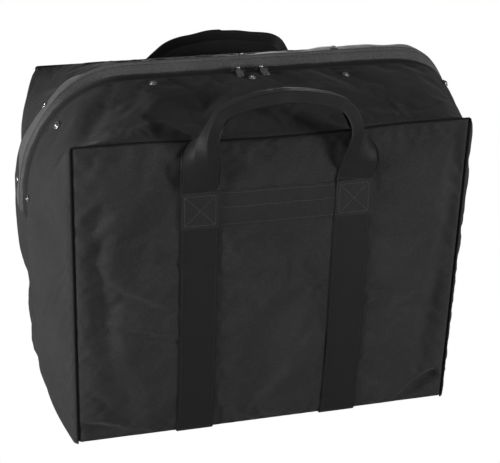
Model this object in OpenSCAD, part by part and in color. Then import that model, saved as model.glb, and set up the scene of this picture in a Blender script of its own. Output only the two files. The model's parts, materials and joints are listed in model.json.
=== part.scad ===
// Flight kit bag: a soft, boxy nylon bag with a zip round its top, a snap-down
// weather flap behind the zip, two web handles and webbing straps under the base.
// The bag stands on its base. X runs along its length, -Y is its front and +Z is up.
// The origin is the middle of the base, on the floor.

/* [Body] */
// Length of the front panel, seam to seam
bag_length = 559; // [480:1:640]
// Depth of the bag, front face to back face, at the seams
bag_depth = 320; // [260:1:380]
// Height of the front panel, floor to top seam
panel_height = 455; // [380:1:520]
// How far the zip line stands above the top seams
crown_rise = 30; // [20:1:40]
// How far the filled ends bulge past the side seams
end_bulge = 37; // [20:1:50]
// How far the front and back panels bulge past their seams
face_bulge = 12; // [6:1:18]
// How far the ends bulge at the floor
base_bulge = 18; // [8:1:24]
// Thickness of the shell cloth with its lining coat
cloth_t = 2; // [1.6:0.1:2.6]
// Thickness of the doubled base
base_t = 3.4; // [3:0.1:4.5]

/* [Zip] */
// Length of the zip that lies straight along the top
zip_straight = 332; // [300:1:360]
// Height above the floor at which the zip ends, on both ends of the bag
zip_end_z = 285; // [240:1:295]
// Width of one zip tape
tape_w = 24; // [18:1:30]
// Thickness of the zip tape
tape_t = 1; // [0.8:0.1:1.4]
// Radius of one row of zip coil
coil_r = 1.4; // [1.2:0.1:1.6]
// Place of the left slider along X
slider_left_x = -13; // [-18:1:-11]
// Place of the right slider along X
slider_right_x = 21; // [19:1:26]
// Length of a pull tab, from its pivot to its tip
pull_len = 24; // [20:1:25]
// Width of a pull tab
pull_w = 10; // [8:0.5:10.5]
// Width of the lock slot in a pull tab
pull_slot_w = 5; // [3:0.5:6]

/* [Weather flap] */
// Height that the flap stands up from its seam before it folds back
flap_rise = 17; // [15:1:20]
// Width of the flap past its fold
flap_fall = 41; // [38:1:46]
// Thickness of the hemmed flap
flap_t = 1.6; // [1.2:0.1:2]
// Distance of the snaps in front of the zip
snap_y = 30; // [29:1:33]
// Radius of a snap's flange
snap_r = 5.5; // [4.5:0.1:6]

/* [Webbing] */
// Width of the webbing
web_w = 52; // [45:1:56]
// Thickness of the webbing
web_t = 1.6; // [1.2:0.1:1.6]
// Distance between the middle lines of the two straps
strap_pitch = 215; // [190:1:240]
// Height of the lower edge of the cross band and of the sewn box
band_z = 328; // [280:1:335]
// Length of webbing from the handle's fold to the top of the grip
handle_rise = 133; // [110:1:150]
// Width of the grip, webbing folded double
grip_w = 22; // [18:1:26]
// Thickness of the grip
grip_t = 14; // [11:0.5:16]
// How far the back handle leans outwards
back_lean = 60; // [40:1:65]

/* [Hidden] */
$fn = 32;

cloth_colour = [0.10, 0.10, 0.10];
web_colour = [0.13, 0.13, 0.13];
trim_colour = [0.05, 0.05, 0.05];
metal_colour = [0.25, 0.25, 0.26];

half_l = bag_length / 2;
half_d = bag_depth / 2;
inner_d = half_d - cloth_t;           // the gusset butts on the inside of the two panels
crown_z = panel_height + crown_rise;  // top of the cloth at the zip
seam_corner_r = 20;                   // rounding of the panels' top corners
side_top_z = 300;                     // where the end's bulge turns into the top corner
mid_corner_x = half_l + end_bulge - zip_straight / 2;
joint_gap = 0.5;                      // between moving cloth and fixed cloth

// The outline has three stretches on each side: 0 to 1 up the end, 1 to 2 round the
// top corner, and 2 to 3 along the top to its middle. Points are [x, z] on the left.
function seam_pt(s, inset = 0) =
    let (x = half_l - inset, z = panel_height - inset, r = seam_corner_r - inset, a = (s - 1) * 90)
    s <= 1 ? [-x, s * (panel_height - seam_corner_r)] :
    s <= 2 ? [-(x - r) - r * cos(a), z - r + r * sin(a)] :
    [-(x - r) * (3 - s), z];
function mid_pt(s, inset = 0) =
    let (cx = mid_corner_x - inset, top = crown_z - inset, a = (s - 1) * 90)
    s <= 1 ? [-(half_l - inset + base_bulge + (end_bulge - base_bulge) * sin(90 * s)), s * side_top_z] :
    s <= 2 ? [-zip_straight / 2 - cx * cos(a), side_top_z + (top - side_top_z) * sin(a)] :
    [-zip_straight / 2 * (3 - s), top];
// Share of the way from the seam outline to the middle outline, at depth share q.
function swell(s, q) =
    let (k = s <= 1 ? 1 : s <= 2 ? 2 - s : 0)
    (1 - k) * q + k * sin(90 * q);
function skin(s, q, inset = 0) =
    let (a = seam_pt(s, inset), b = mid_pt(s, inset), g = swell(s, q), p = a + (b - a) * g)
    [p[0], -inner_d * (1 - q), p[1]];
// The same for the whole depth: y from -inner_d at the front to +inner_d at the back.
function skin_y(s, y, inset = 0) =
    let (p = skin(s, 1 - abs(y) / inner_d, inset)) [p[0], y, p[2]];
// Outward direction of the middle outline.
function mid_out(s) =
    let (d = mid_pt(min(3, s + 0.01)) - mid_pt(s - 0.01), n = norm(d)) [-d[1] / n, d[0] / n];
// The height share at which the zip ends.
zip_end_s = zip_end_z / side_top_z;

// A closed shell between two grids of points of the same size.
module shell(outer, inner) {
    rows = len(outer);
    cols = len(outer[0]);
    n = rows * cols;
    points = concat([for (r = outer) for (p = r) p], [for (r = inner) for (p = r) p]);
    function at(i, j) = i * cols + j;
    skin_faces = [for (i = [0:rows - 2]) for (j = [0:cols - 2]) each [
        [at(i, j), at(i, j + 1), at(i + 1, j + 1)],
        [at(i, j), at(i + 1, j + 1), at(i + 1, j)]
    ]];
    rim = concat(
        [for (j = [0:cols - 2]) [at(0, j), at(0, j + 1)]],
        [for (i = [0:rows - 2]) [at(i, cols - 1), at(i + 1, cols - 1)]],
        [for (j = [cols - 1:-1:1]) [at(rows - 1, j), at(rows - 1, j - 1)]],
        [for (i = [rows - 1:-1:1]) [at(i, 0), at(i - 1, 0)]]
    );
    faces = concat(
        skin_faces,
        [for (f = skin_faces) [f[0] + n, f[2] + n, f[1] + n]],
        [for (e = rim) each [[e[1], e[0], e[0] + n], [e[1], e[0] + n, e[1] + n]]]
    );
    polyhedron(points, faces, convexity = 6);
}
function steps(low, high, n) = [for (i = [0:n]) low + (high - low) * i / n];

// ---- Panels ----
// Bulge of the front and back panels at a place on them, with shares 0 to 1.
function bulge_at(x, z) =
    let (u = min(1, abs(x) / half_l), w = min(1, max(0, z / panel_height)))
    face_bulge * sqrt(max(0, 1 - pow(u, 4))) * pow(max(0, sin(180 * pow(w, 0.85))), 0.7);
// Half width of a panel at a height: its top corners are rounded.
function panel_half(z) =
    let (h = z - (panel_height - seam_corner_r))
    h <= 0 ? half_l : half_l - seam_corner_r + sqrt(max(0, pow(seam_corner_r, 2) - h * h));
module face_panel() {
    levels = concat(steps(base_t, panel_height - seam_corner_r, 8), [for (a = [22.5:22.5:90])
        panel_height - seam_corner_r + seam_corner_r * sin(a)]);
    outer = [for (z = levels) [for (u = steps(-1, 1, 14))
        [u * panel_half(z), -half_d - bulge_at(u * panel_half(z), z), z]]];
    inner = [for (r = outer) [for (p = r) [p[0], p[1] + cloth_t, p[2]]]];
    shell(inner, outer);
}
module front_panel() { color(cloth_colour) face_panel(); }
module back_panel() { color(cloth_colour) mirror([0, 1, 0]) face_panel(); }

// Plan of the base: straight front and back seams and bulged ends.
module base_plan(inset) {
    end = [for (y = steps(-half_d + inset, half_d - inset, 16))
        [half_l - inset + base_bulge * sin(90 * (1 - abs(y) / (half_d - inset))), y]];
    polygon(concat(end, [for (i = [len(end) - 1:-1:0]) [-end[i][0], end[i][1]]]));
}
module strap_groove(side) {
    // The cloth rides over each strap, which so lies flush with it.
    translate([side * strap_pitch / 2 - web_w / 2 - joint_gap, -bag_depth, -1])
        cube([web_w + 2 * joint_gap, 2 * bag_depth, web_t + 1]);
}
module bottom_panel() {
    color(cloth_colour) difference() {
        linear_extrude(base_t) base_plan(0);
        strap_groove(-1);
        strap_groove(1);
    }
}

module end_panel() {
    rows = steps((base_t + 0.05) / side_top_z, zip_end_s, 7);
    depths = steps(-inner_d, inner_d, 12);
    shell([for (s = rows) [for (y = depths) at_floor(skin_y(s, y))]],
        [for (s = rows) [for (y = depths) at_floor(skin_y(s, y, cloth_t))]]);
}
// Keeps the end's lowest edge on the base.
function at_floor(p) = [p[0], p[1], max(p[2], base_t)];
module left_end_panel() { color(cloth_colour) end_panel(); }
module right_end_panel() { color(cloth_colour) mirror([1, 0, 0]) end_panel(); }

// ---- Gusset ----
cloth_edge_y = 9;  // the cloth stops this far from the zip line
module corner_gusset() {
    rows = concat([zip_end_s + 2 * joint_gap / side_top_z], steps(1, 2, 9));
    shares = steps(0, 1 - cloth_edge_y / inner_d, 7);
    shell([for (s = rows) [for (q = shares) skin(s, q)]],
        [for (s = rows) [for (q = shares) skin(s, q, cloth_t)]]);
}
module front_gusset_left() { color(cloth_colour) corner_gusset(); }
module front_gusset_right() { color(cloth_colour) mirror([1, 0, 0]) corner_gusset(); }
module back_gusset_left() { color(cloth_colour) mirror([0, 1, 0]) corner_gusset(); }
module back_gusset_right() { color(cloth_colour) mirror([1, 0, 0]) mirror([0, 1, 0]) corner_gusset(); }

// The two top leaves turn about the top seams. Each is drawn in a frame of its own:
// its origin is on the turning line, its second axis runs up the slope to the zip and
// its third axis points out of the cloth.
slope = atan(crown_rise / inner_d);
hinge_back = cloth_t + 0.1;                 // from the panel's inside to the turning line
hinge_y = inner_d - hinge_back;
hinge_z = panel_height - cloth_t / 2 / cos(slope) + hinge_back * tan(slope);
leaf_len = hinge_y / cos(slope);
module on_front_leaf() {
    translate([0, -hinge_y, hinge_z]) rotate([slope, 0, 0]) children();
}
// Half width of the leaf at a distance up its slope, without the clearance at its sides.
function leaf_half(v) =
    let (q = 1 - (hinge_y - v * cos(slope)) / inner_d)
    (half_l - seam_corner_r) * (1 - q) + zip_straight / 2 * q - joint_gap;
module leaf_plate(v0, v1, w0, w1) {
    translate([0, 0, w0]) linear_extrude(w1 - w0) polygon([
        [-leaf_half(v0), v0], [leaf_half(v0), v0], [leaf_half(v1), v1], [-leaf_half(v1), v1]
    ]);
}
module top_leaf() {
    on_front_leaf() leaf_plate(cloth_t * 0.75, leaf_len - cloth_edge_y / cos(slope), -cloth_t / 2, cloth_t / 2);
}
module front_gusset_top() { color(cloth_colour) top_leaf(); }
module back_gusset_top() { color(cloth_colour) mirror([0, 1, 0]) top_leaf(); }

// ---- Zip ----
coil_y = coil_r + 0.5;              // middle of each row of coil
coil_edge = coil_y + coil_r;
zip_z = crown_z - cloth_t / 2 - (cloth_t / 2 + tape_t / 2) / cos(slope);
held_x = [slider_left_x - 14, slider_right_x + 14];  // the stretch inside the two sliders
held_y = 8;
module tape_leaf() {
    on_front_leaf() leaf_plate(leaf_len - tape_w, leaf_len - (coil_edge + joint_gap) / cos(slope),
        -cloth_t / 2 - tape_t, -cloth_t / 2);
}
module zip_tape_front() { color(trim_colour) tape_leaf(); }
module held_block(gap) {
    translate([held_x[0] - gap, -1, zip_z - 20])
        cube([held_x[1] - held_x[0] + 2 * gap, held_y + 1 + gap, 40]);
}
module zip_tape_back() {
    color(trim_colour) difference() {
        mirror([0, 1, 0]) tape_leaf();
        held_block(joint_gap);
    }
}
module zip_tape_held() {
    color(trim_colour) intersection() {
        mirror([0, 1, 0]) tape_leaf();
        held_block(0);
    }
}
module coil_row(x0, x1, side) {
    translate([x0, side * coil_y, zip_z]) rotate([0, 90, 0]) cylinder(r = coil_r, h = x1 - x0);
}
coil_end_x = zip_straight / 2 - joint_gap;
module zip_coil_front() { color(trim_colour) coil_row(-coil_end_x, coil_end_x, -1); }
module zip_coil_back() {
    color(trim_colour) {
        coil_row(-coil_end_x, held_x[0] - joint_gap, 1);
        coil_row(held_x[1] + joint_gap, coil_end_x, 1);
    }
}
module zip_coil_held() { color(trim_colour) coil_row(held_x[0], held_x[1], 1); }

// A band that follows the middle outline: section points are [y, distance outwards].
module run_band(section, s0, s1, n) {
    rows = steps(s0, s1, n);
    m = len(section);
    points = [for (s = rows) let (p = mid_pt(s), o = mid_out(s)) for (c = section)
        [p[0] + o[0] * c[1], c[0], p[1] + o[1] * c[1]]];
    sides = [for (i = [0:n - 1]) for (j = [0:m - 1]) let (k = (j + 1) % m) each [
        [i * m + j, (i + 1) * m + k, i * m + k],
        [i * m + j, (i + 1) * m + j, (i + 1) * m + k]
    ]];
    polyhedron(points, concat(sides, [[for (j = [0:m - 1]) j]], [[for (j = [m - 1:-1:0]) n * m + j]]));
}
run_top_s = 2 - 0.005;
tape_top_s = 1.92;           // clear of the slanted sides of the top leaves
tape_depth = 4.2;            // the tape lies under the cloth, and dips away from the zip
tape_dip = (tape_w - coil_edge) * tan(slope);
module tape_run() {
    for (side = [-1, 1]) {
        section = [[coil_edge, -tape_depth - tape_t], [tape_w, -tape_depth - tape_dip - tape_t],
            [tape_w, -tape_depth - tape_dip], [coil_edge, -tape_depth]];
        turned = side > 0 ? section : [for (i = [3:-1:0]) [-section[i][0], section[i][1]]];
        run_band(turned, zip_end_s + 0.02, tape_top_s, 10);
    }
}
module coil_run() {
    for (side = [-1, 1]) {
        run_band([for (a = [0:60:300]) [side * coil_y + coil_r * cos(a), -tape_depth + coil_r * sin(a)]],
            zip_end_s + 0.02, run_top_s, 10);
    }
}
module zip_tapes_left() { color(trim_colour) tape_run(); }
module zip_tapes_right() { color(trim_colour) mirror([1, 0, 0]) tape_run(); }
module zip_coils_left() { color(trim_colour) coil_run(); }
module zip_coils_right() { color(trim_colour) mirror([1, 0, 0]) coil_run(); }
module end_stop() {
    p = mid_pt(zip_end_s + 0.01);
    translate([p[0] + 0.5, -coil_edge, p[1] - 2]) cube([2.5, 2 * coil_edge, 5]);
}
module zip_end_stop_left() { color(metal_colour) end_stop(); }
module zip_end_stop_right() { color(metal_colour) mirror([1, 0, 0]) end_stop(); }

slider_half_w = 5.6;
slider_len = 20;
plate_t = 1.4;
plate_up = coil_r + 0.4;      // underside of the upper plate, above the coil's middle
plate_down = coil_r + 1;      // top of the lower plate, below the coil's middle
bar_r = 0.8;
knuckle_r = 1.9;
knuckle_bore = bar_r + 0.08;
knuckle_half = 2.4;
bar_up = plate_up + plate_t + knuckle_r + 0.3;
module slider_plate(z, w) {
    translate([0, 0, z]) linear_extrude(plate_t) offset(r = 1.5)
        square([slider_len - 3, 2 * w - 3], center = true);
}
module zip_slider(x, nose) {
    // nose is the side, -1 or 1, on which the post parts the two rows of coil
    color(metal_colour) translate([x, 0, zip_z]) {
        slider_plate(plate_up, slider_half_w);
        slider_plate(-plate_down - plate_t, slider_half_w);
        translate([nose * (slider_len / 2 - 3) - 1.5, -0.3, -plate_down - 0.2])
            cube([3, 0.6, plate_down + plate_up + 0.4]);
        for (side = [-1, 1]) {
            translate([-slider_len / 2 + 2, side > 0 ? slider_half_w - 1.2 : -slider_half_w, plate_up - 0.9])
                cube([slider_len - 4, 1.2, 1]);
            translate([side > 0 ? knuckle_half + 0.4 : -knuckle_half - 2, -1, plate_up + plate_t - 0.2])
                cube([1.6, 2, bar_up - plate_up - plate_t + 0.2 + bar_r]);
        }
        translate([-knuckle_half - 1, 0, bar_up]) rotate([0, 90, 0])
            cylinder(r = bar_r, h = 2 * knuckle_half + 2);
    }
}
module zip_slider_left() { zip_slider(slider_left_x, 1); }
module zip_slider_right() { zip_slider(slider_right_x, -1); }

pull_droop = 12;
pull_t = 1.4;
pull_corner_r = 2;
module zip_pull(x) {
    color(metal_colour) translate([x, 0, zip_z + bar_up]) rotate([pull_droop, 0, 0]) difference() {
        union() {
            rotate([0, 90, 0]) cylinder(r = knuckle_r, h = 2 * knuckle_half, center = true);
            translate([-knuckle_half, -pull_len / 2, -pull_t / 2]) cube([2 * knuckle_half, pull_len / 2, pull_t]);
            translate([-pull_w / 2, -pull_len + pull_corner_r, -pull_t / 2])
                cube([pull_w, pull_len * 0.68 - pull_corner_r, pull_t]);
            translate([-pull_w / 2 + pull_corner_r, -pull_len, -pull_t / 2])
                cube([pull_w - 2 * pull_corner_r, 2 * pull_corner_r, pull_t]);
            for (side = [-1, 1]) translate([side * (pull_w / 2 - pull_corner_r), -pull_len + pull_corner_r, 0])
                cylinder(r = pull_corner_r, h = pull_t, center = true);
        }
        rotate([0, 90, 0]) cylinder(r = knuckle_bore, h = 2 * knuckle_half + 2, center = true);
        translate([-pull_slot_w / 2, -pull_len + 3, -pull_t]) cube([pull_slot_w, 2.5, 2 * pull_t]);
    }
}
module zip_pull_left() { zip_pull(slider_left_x); }
module zip_pull_right() { zip_pull(slider_right_x); }

// ---- Weather flap ----
// Angles are from +Y towards +Z. The flap stands up and back, then folds and falls back.
flap_y = 13;
flap_seam_z = crown_z - flap_y * tan(slope) + 0.6;
rise_angle = 75;
fall_angle = -13;
fold_y = flap_y + flap_rise * cos(rise_angle);
fold_z = flap_seam_z + flap_rise * sin(rise_angle);
flap_end_x = leaf_half(leaf_len - (fold_y + flap_fall) / cos(slope)) + joint_gap;
flap_half_x = flap_end_x - 4;
module flap_plate(y, z, angle, from, to) {
    translate([-flap_half_x, y, z]) rotate([angle, 0, 0])
        translate([0, from, -flap_t / 2]) cube([2 * flap_half_x, to - from, flap_t]);
}
module flap_rise_top() {
    color(cloth_colour) flap_plate(flap_y, flap_seam_z, rise_angle, flap_t / 2 + 0.2, flap_rise - flap_t - 0.2);
}
module flap_fall_top() {
    color(cloth_colour) flap_plate(fold_y, fold_z, fall_angle, 0, flap_fall);
}
// The flap's runs down the two ends stay folded back, lower than along the top. They
// lie level, to clear the bag's square corners.
run_rise = flap_rise * 0.55;
run_fall_angle = 1;
run_fold = [flap_y + run_rise * cos(rise_angle), run_rise * sin(rise_angle)];
fall_end = run_fold + flap_fall * [cos(run_fall_angle), sin(run_fall_angle)];
// The run stops beside the back leaf's slanted side.
flap_run_top_s = 1 + acos((flap_end_x - zip_straight / 2) / mid_corner_x) / 90;
module flap_run() {
    // The run leaves out the slope of the back leaf, so it stands on the outline itself.
    run_band([
        [flap_y, 0.6], [flap_y + flap_t, 0.6], [run_fold[0] + flap_t, run_fold[1] - flap_t],
        [fall_end[0], fall_end[1]], [fall_end[0], fall_end[1] + flap_t], [run_fold[0], run_fold[1] + flap_t / 2]
    ], zip_end_s, flap_run_top_s, 14);
}
module flap_run_left() { color(cloth_colour) flap_run(); }
module flap_run_right() { color(cloth_colour) mirror([1, 0, 0]) flap_run(); }

// ---- Snaps ----
snap_top_x = [-141, 0, 137];
snap_run_s = [1.08, 1.5];        // places of the snaps down each end
stud_r = 2.4;
socket_bore = 3.6;
snap_flange_t = 1;
stud_h = 3;
socket_h = 1.8;
// Closed, the flap's rise leans forward over the zip and its fall lies down to the
// studs. The sockets stand a little off the studs' flanges there.
rise_closed = 145;
socket_gap = 2.4;
closed_fold = [flap_y + flap_rise * cos(rise_closed), flap_seam_z + flap_rise * sin(rise_closed)];
closed_up = socket_gap + socket_h + flap_t / 2;
closed_snap = [-snap_y - closed_up * sin(slope), crown_z - snap_y * tan(slope) + closed_up * cos(slope)];
snap_along = norm(closed_snap - closed_fold);  // from the flap's fold to each socket
module stud() {
    cylinder(r = snap_r, h = snap_flange_t);
    cylinder(r = stud_r, h = stud_h);
}
module socket() {
    difference() {
        cylinder(r = snap_r, h = socket_h);
        translate([0, 0, -1]) cylinder(r = socket_bore, h = 4);
    }
}
module cap() {
    cylinder(r = snap_r, h = 0.6);
    cylinder(r = snap_r - 1, h = 1.2);
}
module snap_studs_top() {
    color(metal_colour) for (x = snap_top_x)
        on_front_leaf() translate([x, leaf_len - snap_y / cos(slope), cloth_t / 2]) stud();
}
// Puts a piece on the middle outline's own frame: its third axis points outwards.
module on_run(s, y, out) {
    p = mid_pt(s);
    o = mid_out(s);
    translate([p[0] + o[0] * out, y, p[1] + o[1] * out]) rotate([0, -atan2(-o[0], o[1]), 0]) children();
}
// Depth of the cloth under the middle outline, straight down from a place off the zip.
function sink(s, y) =
    let (p = skin_y(s, y), m = mid_pt(s), o = mid_out(s)) -((p[0] - m[0]) * o[0] + (p[2] - m[1]) * o[1]);
module stud_run() {
    for (s = snap_run_s) on_run(s, -snap_y, -sink(s, -snap_y) + 0.8) stud();
}
module snap_studs_left() { color(metal_colour) stud_run(); }
module snap_studs_right() { color(metal_colour) mirror([1, 0, 0]) stud_run(); }
module on_fall_top(x) {
    translate([x, fold_y, fold_z]) rotate([fall_angle, 0, 0]) translate([0, snap_along, 0]) children();
}
module snap_sockets_top() {
    color(metal_colour) for (x = snap_top_x) on_fall_top(x) translate([0, 0, flap_t / 2]) socket();
}
module snap_caps_top() {
    color(metal_colour) for (x = snap_top_x) on_fall_top(x) translate([0, 0, -flap_t / 2]) mirror([0, 0, 1]) cap();
}
// The same snaps on the runs, where the flap lies back at the same angle.
module on_fall_run(s) {
    y = run_fold[0] + snap_along * cos(run_fall_angle);
    out = run_fold[1] + snap_along * sin(run_fall_angle);
    on_run(s, y, out) rotate([run_fall_angle, 0, 0]) children();
}
run_snap_gap = 0.9;  // the run is curved under each flat snap
module socket_run() {
    for (s = snap_run_s) on_fall_run(s) translate([0, 0, flap_t + run_snap_gap]) socket();
}
module cap_run() {
    for (s = snap_run_s) on_fall_run(s) translate([0, 0, -run_snap_gap]) mirror([0, 0, 1]) cap();
}
module snap_sockets_left() { color(metal_colour) socket_run(); }
module snap_sockets_right() { color(metal_colour) mirror([1, 0, 0]) socket_run(); }
module snap_caps_left() { color(metal_colour) cap_run(); }
module snap_caps_right() { color(metal_colour) mirror([1, 0, 0]) cap_run(); }

// ---- Webbing ----
// A strap runs up the front, under the base and up the back, in one piece.
web_gap = 0.1;
strap_top = band_z + web_w;     // the handle leaves the bag here
module strap_face(side) {
    x0 = side * strap_pitch / 2 - web_w / 2;
    levels = steps(web_t + 0.01, strap_top, 12);
    xs = steps(x0, x0 + web_w, 2);
    outer = [for (z = levels) [for (x = xs) [x, -half_d - bulge_at(x, max(z, base_t)) - web_gap - web_t, z]]];
    inner = [for (z = levels) [for (x = xs) [x, -half_d - bulge_at(x, max(z, base_t)) - web_gap, z]]];
    shell(inner, outer);
}
module strap(side) {
    reach = half_d + bulge_at(side * strap_pitch / 2, base_t) + web_gap + web_t;
    strap_face(side);
    mirror([0, 1, 0]) strap_face(side);
    translate([side * strap_pitch / 2 - web_w / 2, -reach, 0]) cube([web_w, 2 * reach, web_t]);
}
module strap_left() { color(web_colour) strap(-1); }
module strap_right() { color(web_colour) strap(1); }

module cross_band() {
    half = strap_pitch / 2 - web_w / 2 - 0.3;
    levels = steps(band_z, band_z + web_w, 3);
    xs = steps(-half, half, 4);
    outer = [for (z = levels) [for (x = xs) [x, -half_d - bulge_at(x, z) - web_gap - web_t, z]]];
    inner = [for (z = levels) [for (x = xs) [x, -half_d - bulge_at(x, z) - web_gap, z]]];
    shell(inner, outer);
}
module cross_band_front() { color(web_colour) cross_band(); }
module cross_band_back() { color(web_colour) mirror([0, 1, 0]) cross_band(); }

// A box with a cross in it, sewn through the top of each strap.
thread_w = 1.2;
module box_stitch(side) {
    x = side * strap_pitch / 2;
    y = -half_d - bulge_at(x, strap_top) - web_gap - web_t;
    lean = atan((bulge_at(x, band_z) - bulge_at(x, strap_top)) / web_w);
    w = web_w - 10;
    translate([x, y - 0.05, strap_top]) rotate([90 - lean, 0, 0]) translate([0, -web_w / 2, 0.2]) linear_extrude(0.8) {
        difference() {
            square(w, center = true);
            square(w - 2 * thread_w, center = true);
        }
        for (a = [-45, 45]) rotate(a) square([w * 1.38, thread_w], center = true);
    }
}
module box_stitches() { for (side = [-1, 1]) box_stitch(side); }
module box_stitches_front() { color(web_colour) box_stitches(); }
module box_stitches_back() { color(web_colour) mirror([0, 1, 0]) box_stitches(); }

// ---- Handles ----
// Each handle is drawn upright in front of the front panel, about the line where its
// webbing leaves the strap: that line is the origin, with -Y outwards.
handle_y = -half_d - bulge_at(strap_pitch / 2, strap_top) - web_gap - web_t - 2;
handle_z = strap_top + 2;
grip_end_x = 90;
grip_start_z = 104;
// Path of a leg: [x, outwards, z, half width], from the fold to the grip.
leg_path = [
    [strap_pitch / 2, 0.5, 1, web_w / 2],
    [strap_pitch / 2 + 1, 2.5, 8, web_w / 2],
    [strap_pitch / 2 + 1, 8, 26, web_w / 2],
    [strap_pitch / 2 - 1, 13, 52, web_w / 2 - 3],
    [strap_pitch / 2 - 6, 14, 78, web_w / 2 - 8],
    [grip_end_x + 3, 11, grip_start_z - 5, grip_w / 2]
];
module leg() {
    back = [for (p = leg_path) [for (u = [-1, 0, 1]) [p[0] + u * p[3], -p[1] + 0.9, p[2]]]];
    front = [for (p = leg_path) [for (u = [-1, 0, 1]) [p[0] + u * p[3], -p[1] - 0.9, p[2] - 0.6]]];
    shell(back, front);
}
// The grip is an arch of an oval section, from one leg to the other.
function grip_pt(t) = [grip_end_x * sin(90 * t), grip_start_z - 2 + (handle_rise - grip_t / 2 - grip_start_z) * pow(cos(90 * t), 0.75)];
module grip() {
    rows = steps(-1, 1, 16);
    m = 12;
    points = [for (t = rows) let (p = grip_pt(t), d = grip_pt(min(1, t + 0.02)) - grip_pt(max(-1, t - 0.02)), n = norm(d))
        for (k = [0:m - 1]) let (a = 360 * k / m, r = grip_t / 2 * sin(a), w = grip_w / 2 * cos(a))
        [p[0] - d[1] / n * r, -10 + w, p[1] + d[0] / n * r]];
    n = len(rows) - 1;
    sides = [for (i = [0:n - 1]) for (j = [0:m - 1]) let (k = (j + 1) % m) each [
        [i * m + j, i * m + k, (i + 1) * m + k],
        [i * m + j, (i + 1) * m + k, (i + 1) * m + j]
    ]];
    polyhedron(points, concat(sides, [[for (j = [m - 1:-1:0]) j]], [[for (j = [0:m - 1]) n * m + j]]));
}
module at_front_handle() { translate([0, handle_y, handle_z]) children(); }
module at_back_handle() { mirror([0, 1, 0]) translate([0, handle_y, handle_z]) rotate([back_lean, 0, 0]) children(); }
module handle_front_leg_left() { color(web_colour) at_front_handle() mirror([1, 0, 0]) leg(); }
module handle_front_leg_right() { color(web_colour) at_front_handle() leg(); }
module handle_front_grip() { color(web_colour) at_front_handle() grip(); }
module handle_back_leg_left() { color(web_colour) at_back_handle() mirror([1, 0, 0]) leg(); }
module handle_back_leg_right() { color(web_colour) at_back_handle() leg(); }
module handle_back_grip() { color(web_colour) at_back_handle() grip(); }

// ---- Inside ----
binding_w = 8;
binding_t = 1.4;
module binding() {
    // Tape over the seam allowance inside the panel's side and base seams.
    y = -inner_d + 0.2;
    for (side = [-1, 1]) {
        translate([side > 0 ? half_l - cloth_t - 1.5 - binding_t : -half_l + cloth_t + 1.5, y, base_t + 12])
            cube([binding_t, binding_w, panel_height * 0.84]);
    }
    translate([-half_l + 14, y, base_t + 1]) cube([bag_length - 28, binding_w, binding_t]);
}
module seam_binding_front() { color(trim_colour) binding(); }
module seam_binding_back() { color(trim_colour) mirror([0, 1, 0]) binding(); }

front_panel();
back_panel();
bottom_panel();
left_end_panel();
right_end_panel();
front_gusset_top();
front_gusset_left();
front_gusset_right();
back_gusset_top();
back_gusset_left();
back_gusset_right();
zip_tape_front();
zip_tape_back();
zip_tape_held();
zip_tapes_left();
zip_tapes_right();
zip_coil_front();
zip_coil_back();
zip_coil_held();
zip_coils_left();
zip_coils_right();
zip_end_stop_left();
zip_end_stop_right();
zip_slider_left();
zip_slider_right();
zip_pull_left();
zip_pull_right();
flap_rise_top();
flap_fall_top();
flap_run_left();
flap_run_right();
snap_studs_top();
snap_studs_left();
snap_studs_right();
snap_sockets_top();
snap_sockets_left();
snap_sockets_right();
snap_caps_top();
snap_caps_left();
snap_caps_right();
strap_left();
strap_right();
cross_band_front();
cross_band_back();
handle_front_leg_left();
handle_front_leg_right();
handle_front_grip();
handle_back_leg_left();
handle_back_leg_right();
handle_back_grip();
box_stitches_front();
box_stitches_back();
seam_binding_front();
seam_binding_back();
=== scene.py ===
"""The looks of a soft nylon flight kit bag: cloth shell, zip, weather flap, webbing and handles.

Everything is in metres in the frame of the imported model: X runs along the bag, -Y is its
front and +Z is up. A sheet of cloth is a grid of points, shaped by the same outlines as
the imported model, wrinkled by a short cloth simulation and given its thickness last.
"""

import json
from math import cos, radians, sin

import bpy
import numpy as np
from mathutils import Matrix, Vector
from mathutils.bvhtree import BVHTree


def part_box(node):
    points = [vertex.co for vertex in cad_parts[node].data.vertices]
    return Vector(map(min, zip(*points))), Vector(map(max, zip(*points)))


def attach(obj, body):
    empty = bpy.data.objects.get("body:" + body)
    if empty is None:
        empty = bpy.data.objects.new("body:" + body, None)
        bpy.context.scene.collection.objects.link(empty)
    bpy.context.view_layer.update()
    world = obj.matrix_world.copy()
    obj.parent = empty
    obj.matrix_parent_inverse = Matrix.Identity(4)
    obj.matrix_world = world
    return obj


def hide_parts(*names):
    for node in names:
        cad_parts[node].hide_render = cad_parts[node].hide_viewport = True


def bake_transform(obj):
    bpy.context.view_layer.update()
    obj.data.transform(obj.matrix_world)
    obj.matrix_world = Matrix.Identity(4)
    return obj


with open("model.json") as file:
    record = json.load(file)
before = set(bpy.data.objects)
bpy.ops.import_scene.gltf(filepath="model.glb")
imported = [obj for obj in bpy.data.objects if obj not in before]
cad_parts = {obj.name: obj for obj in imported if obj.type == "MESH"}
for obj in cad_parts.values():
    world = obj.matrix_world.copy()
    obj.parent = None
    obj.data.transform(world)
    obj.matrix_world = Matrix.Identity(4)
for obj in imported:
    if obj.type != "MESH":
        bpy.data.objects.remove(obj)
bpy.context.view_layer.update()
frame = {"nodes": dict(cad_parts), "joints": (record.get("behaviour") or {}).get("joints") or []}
MM = 0.001
rng = np.random.default_rng(22)


def low(node, axis):
    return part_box(node)[0][axis]


def high(node, axis):
    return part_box(node)[1][axis]


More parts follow.
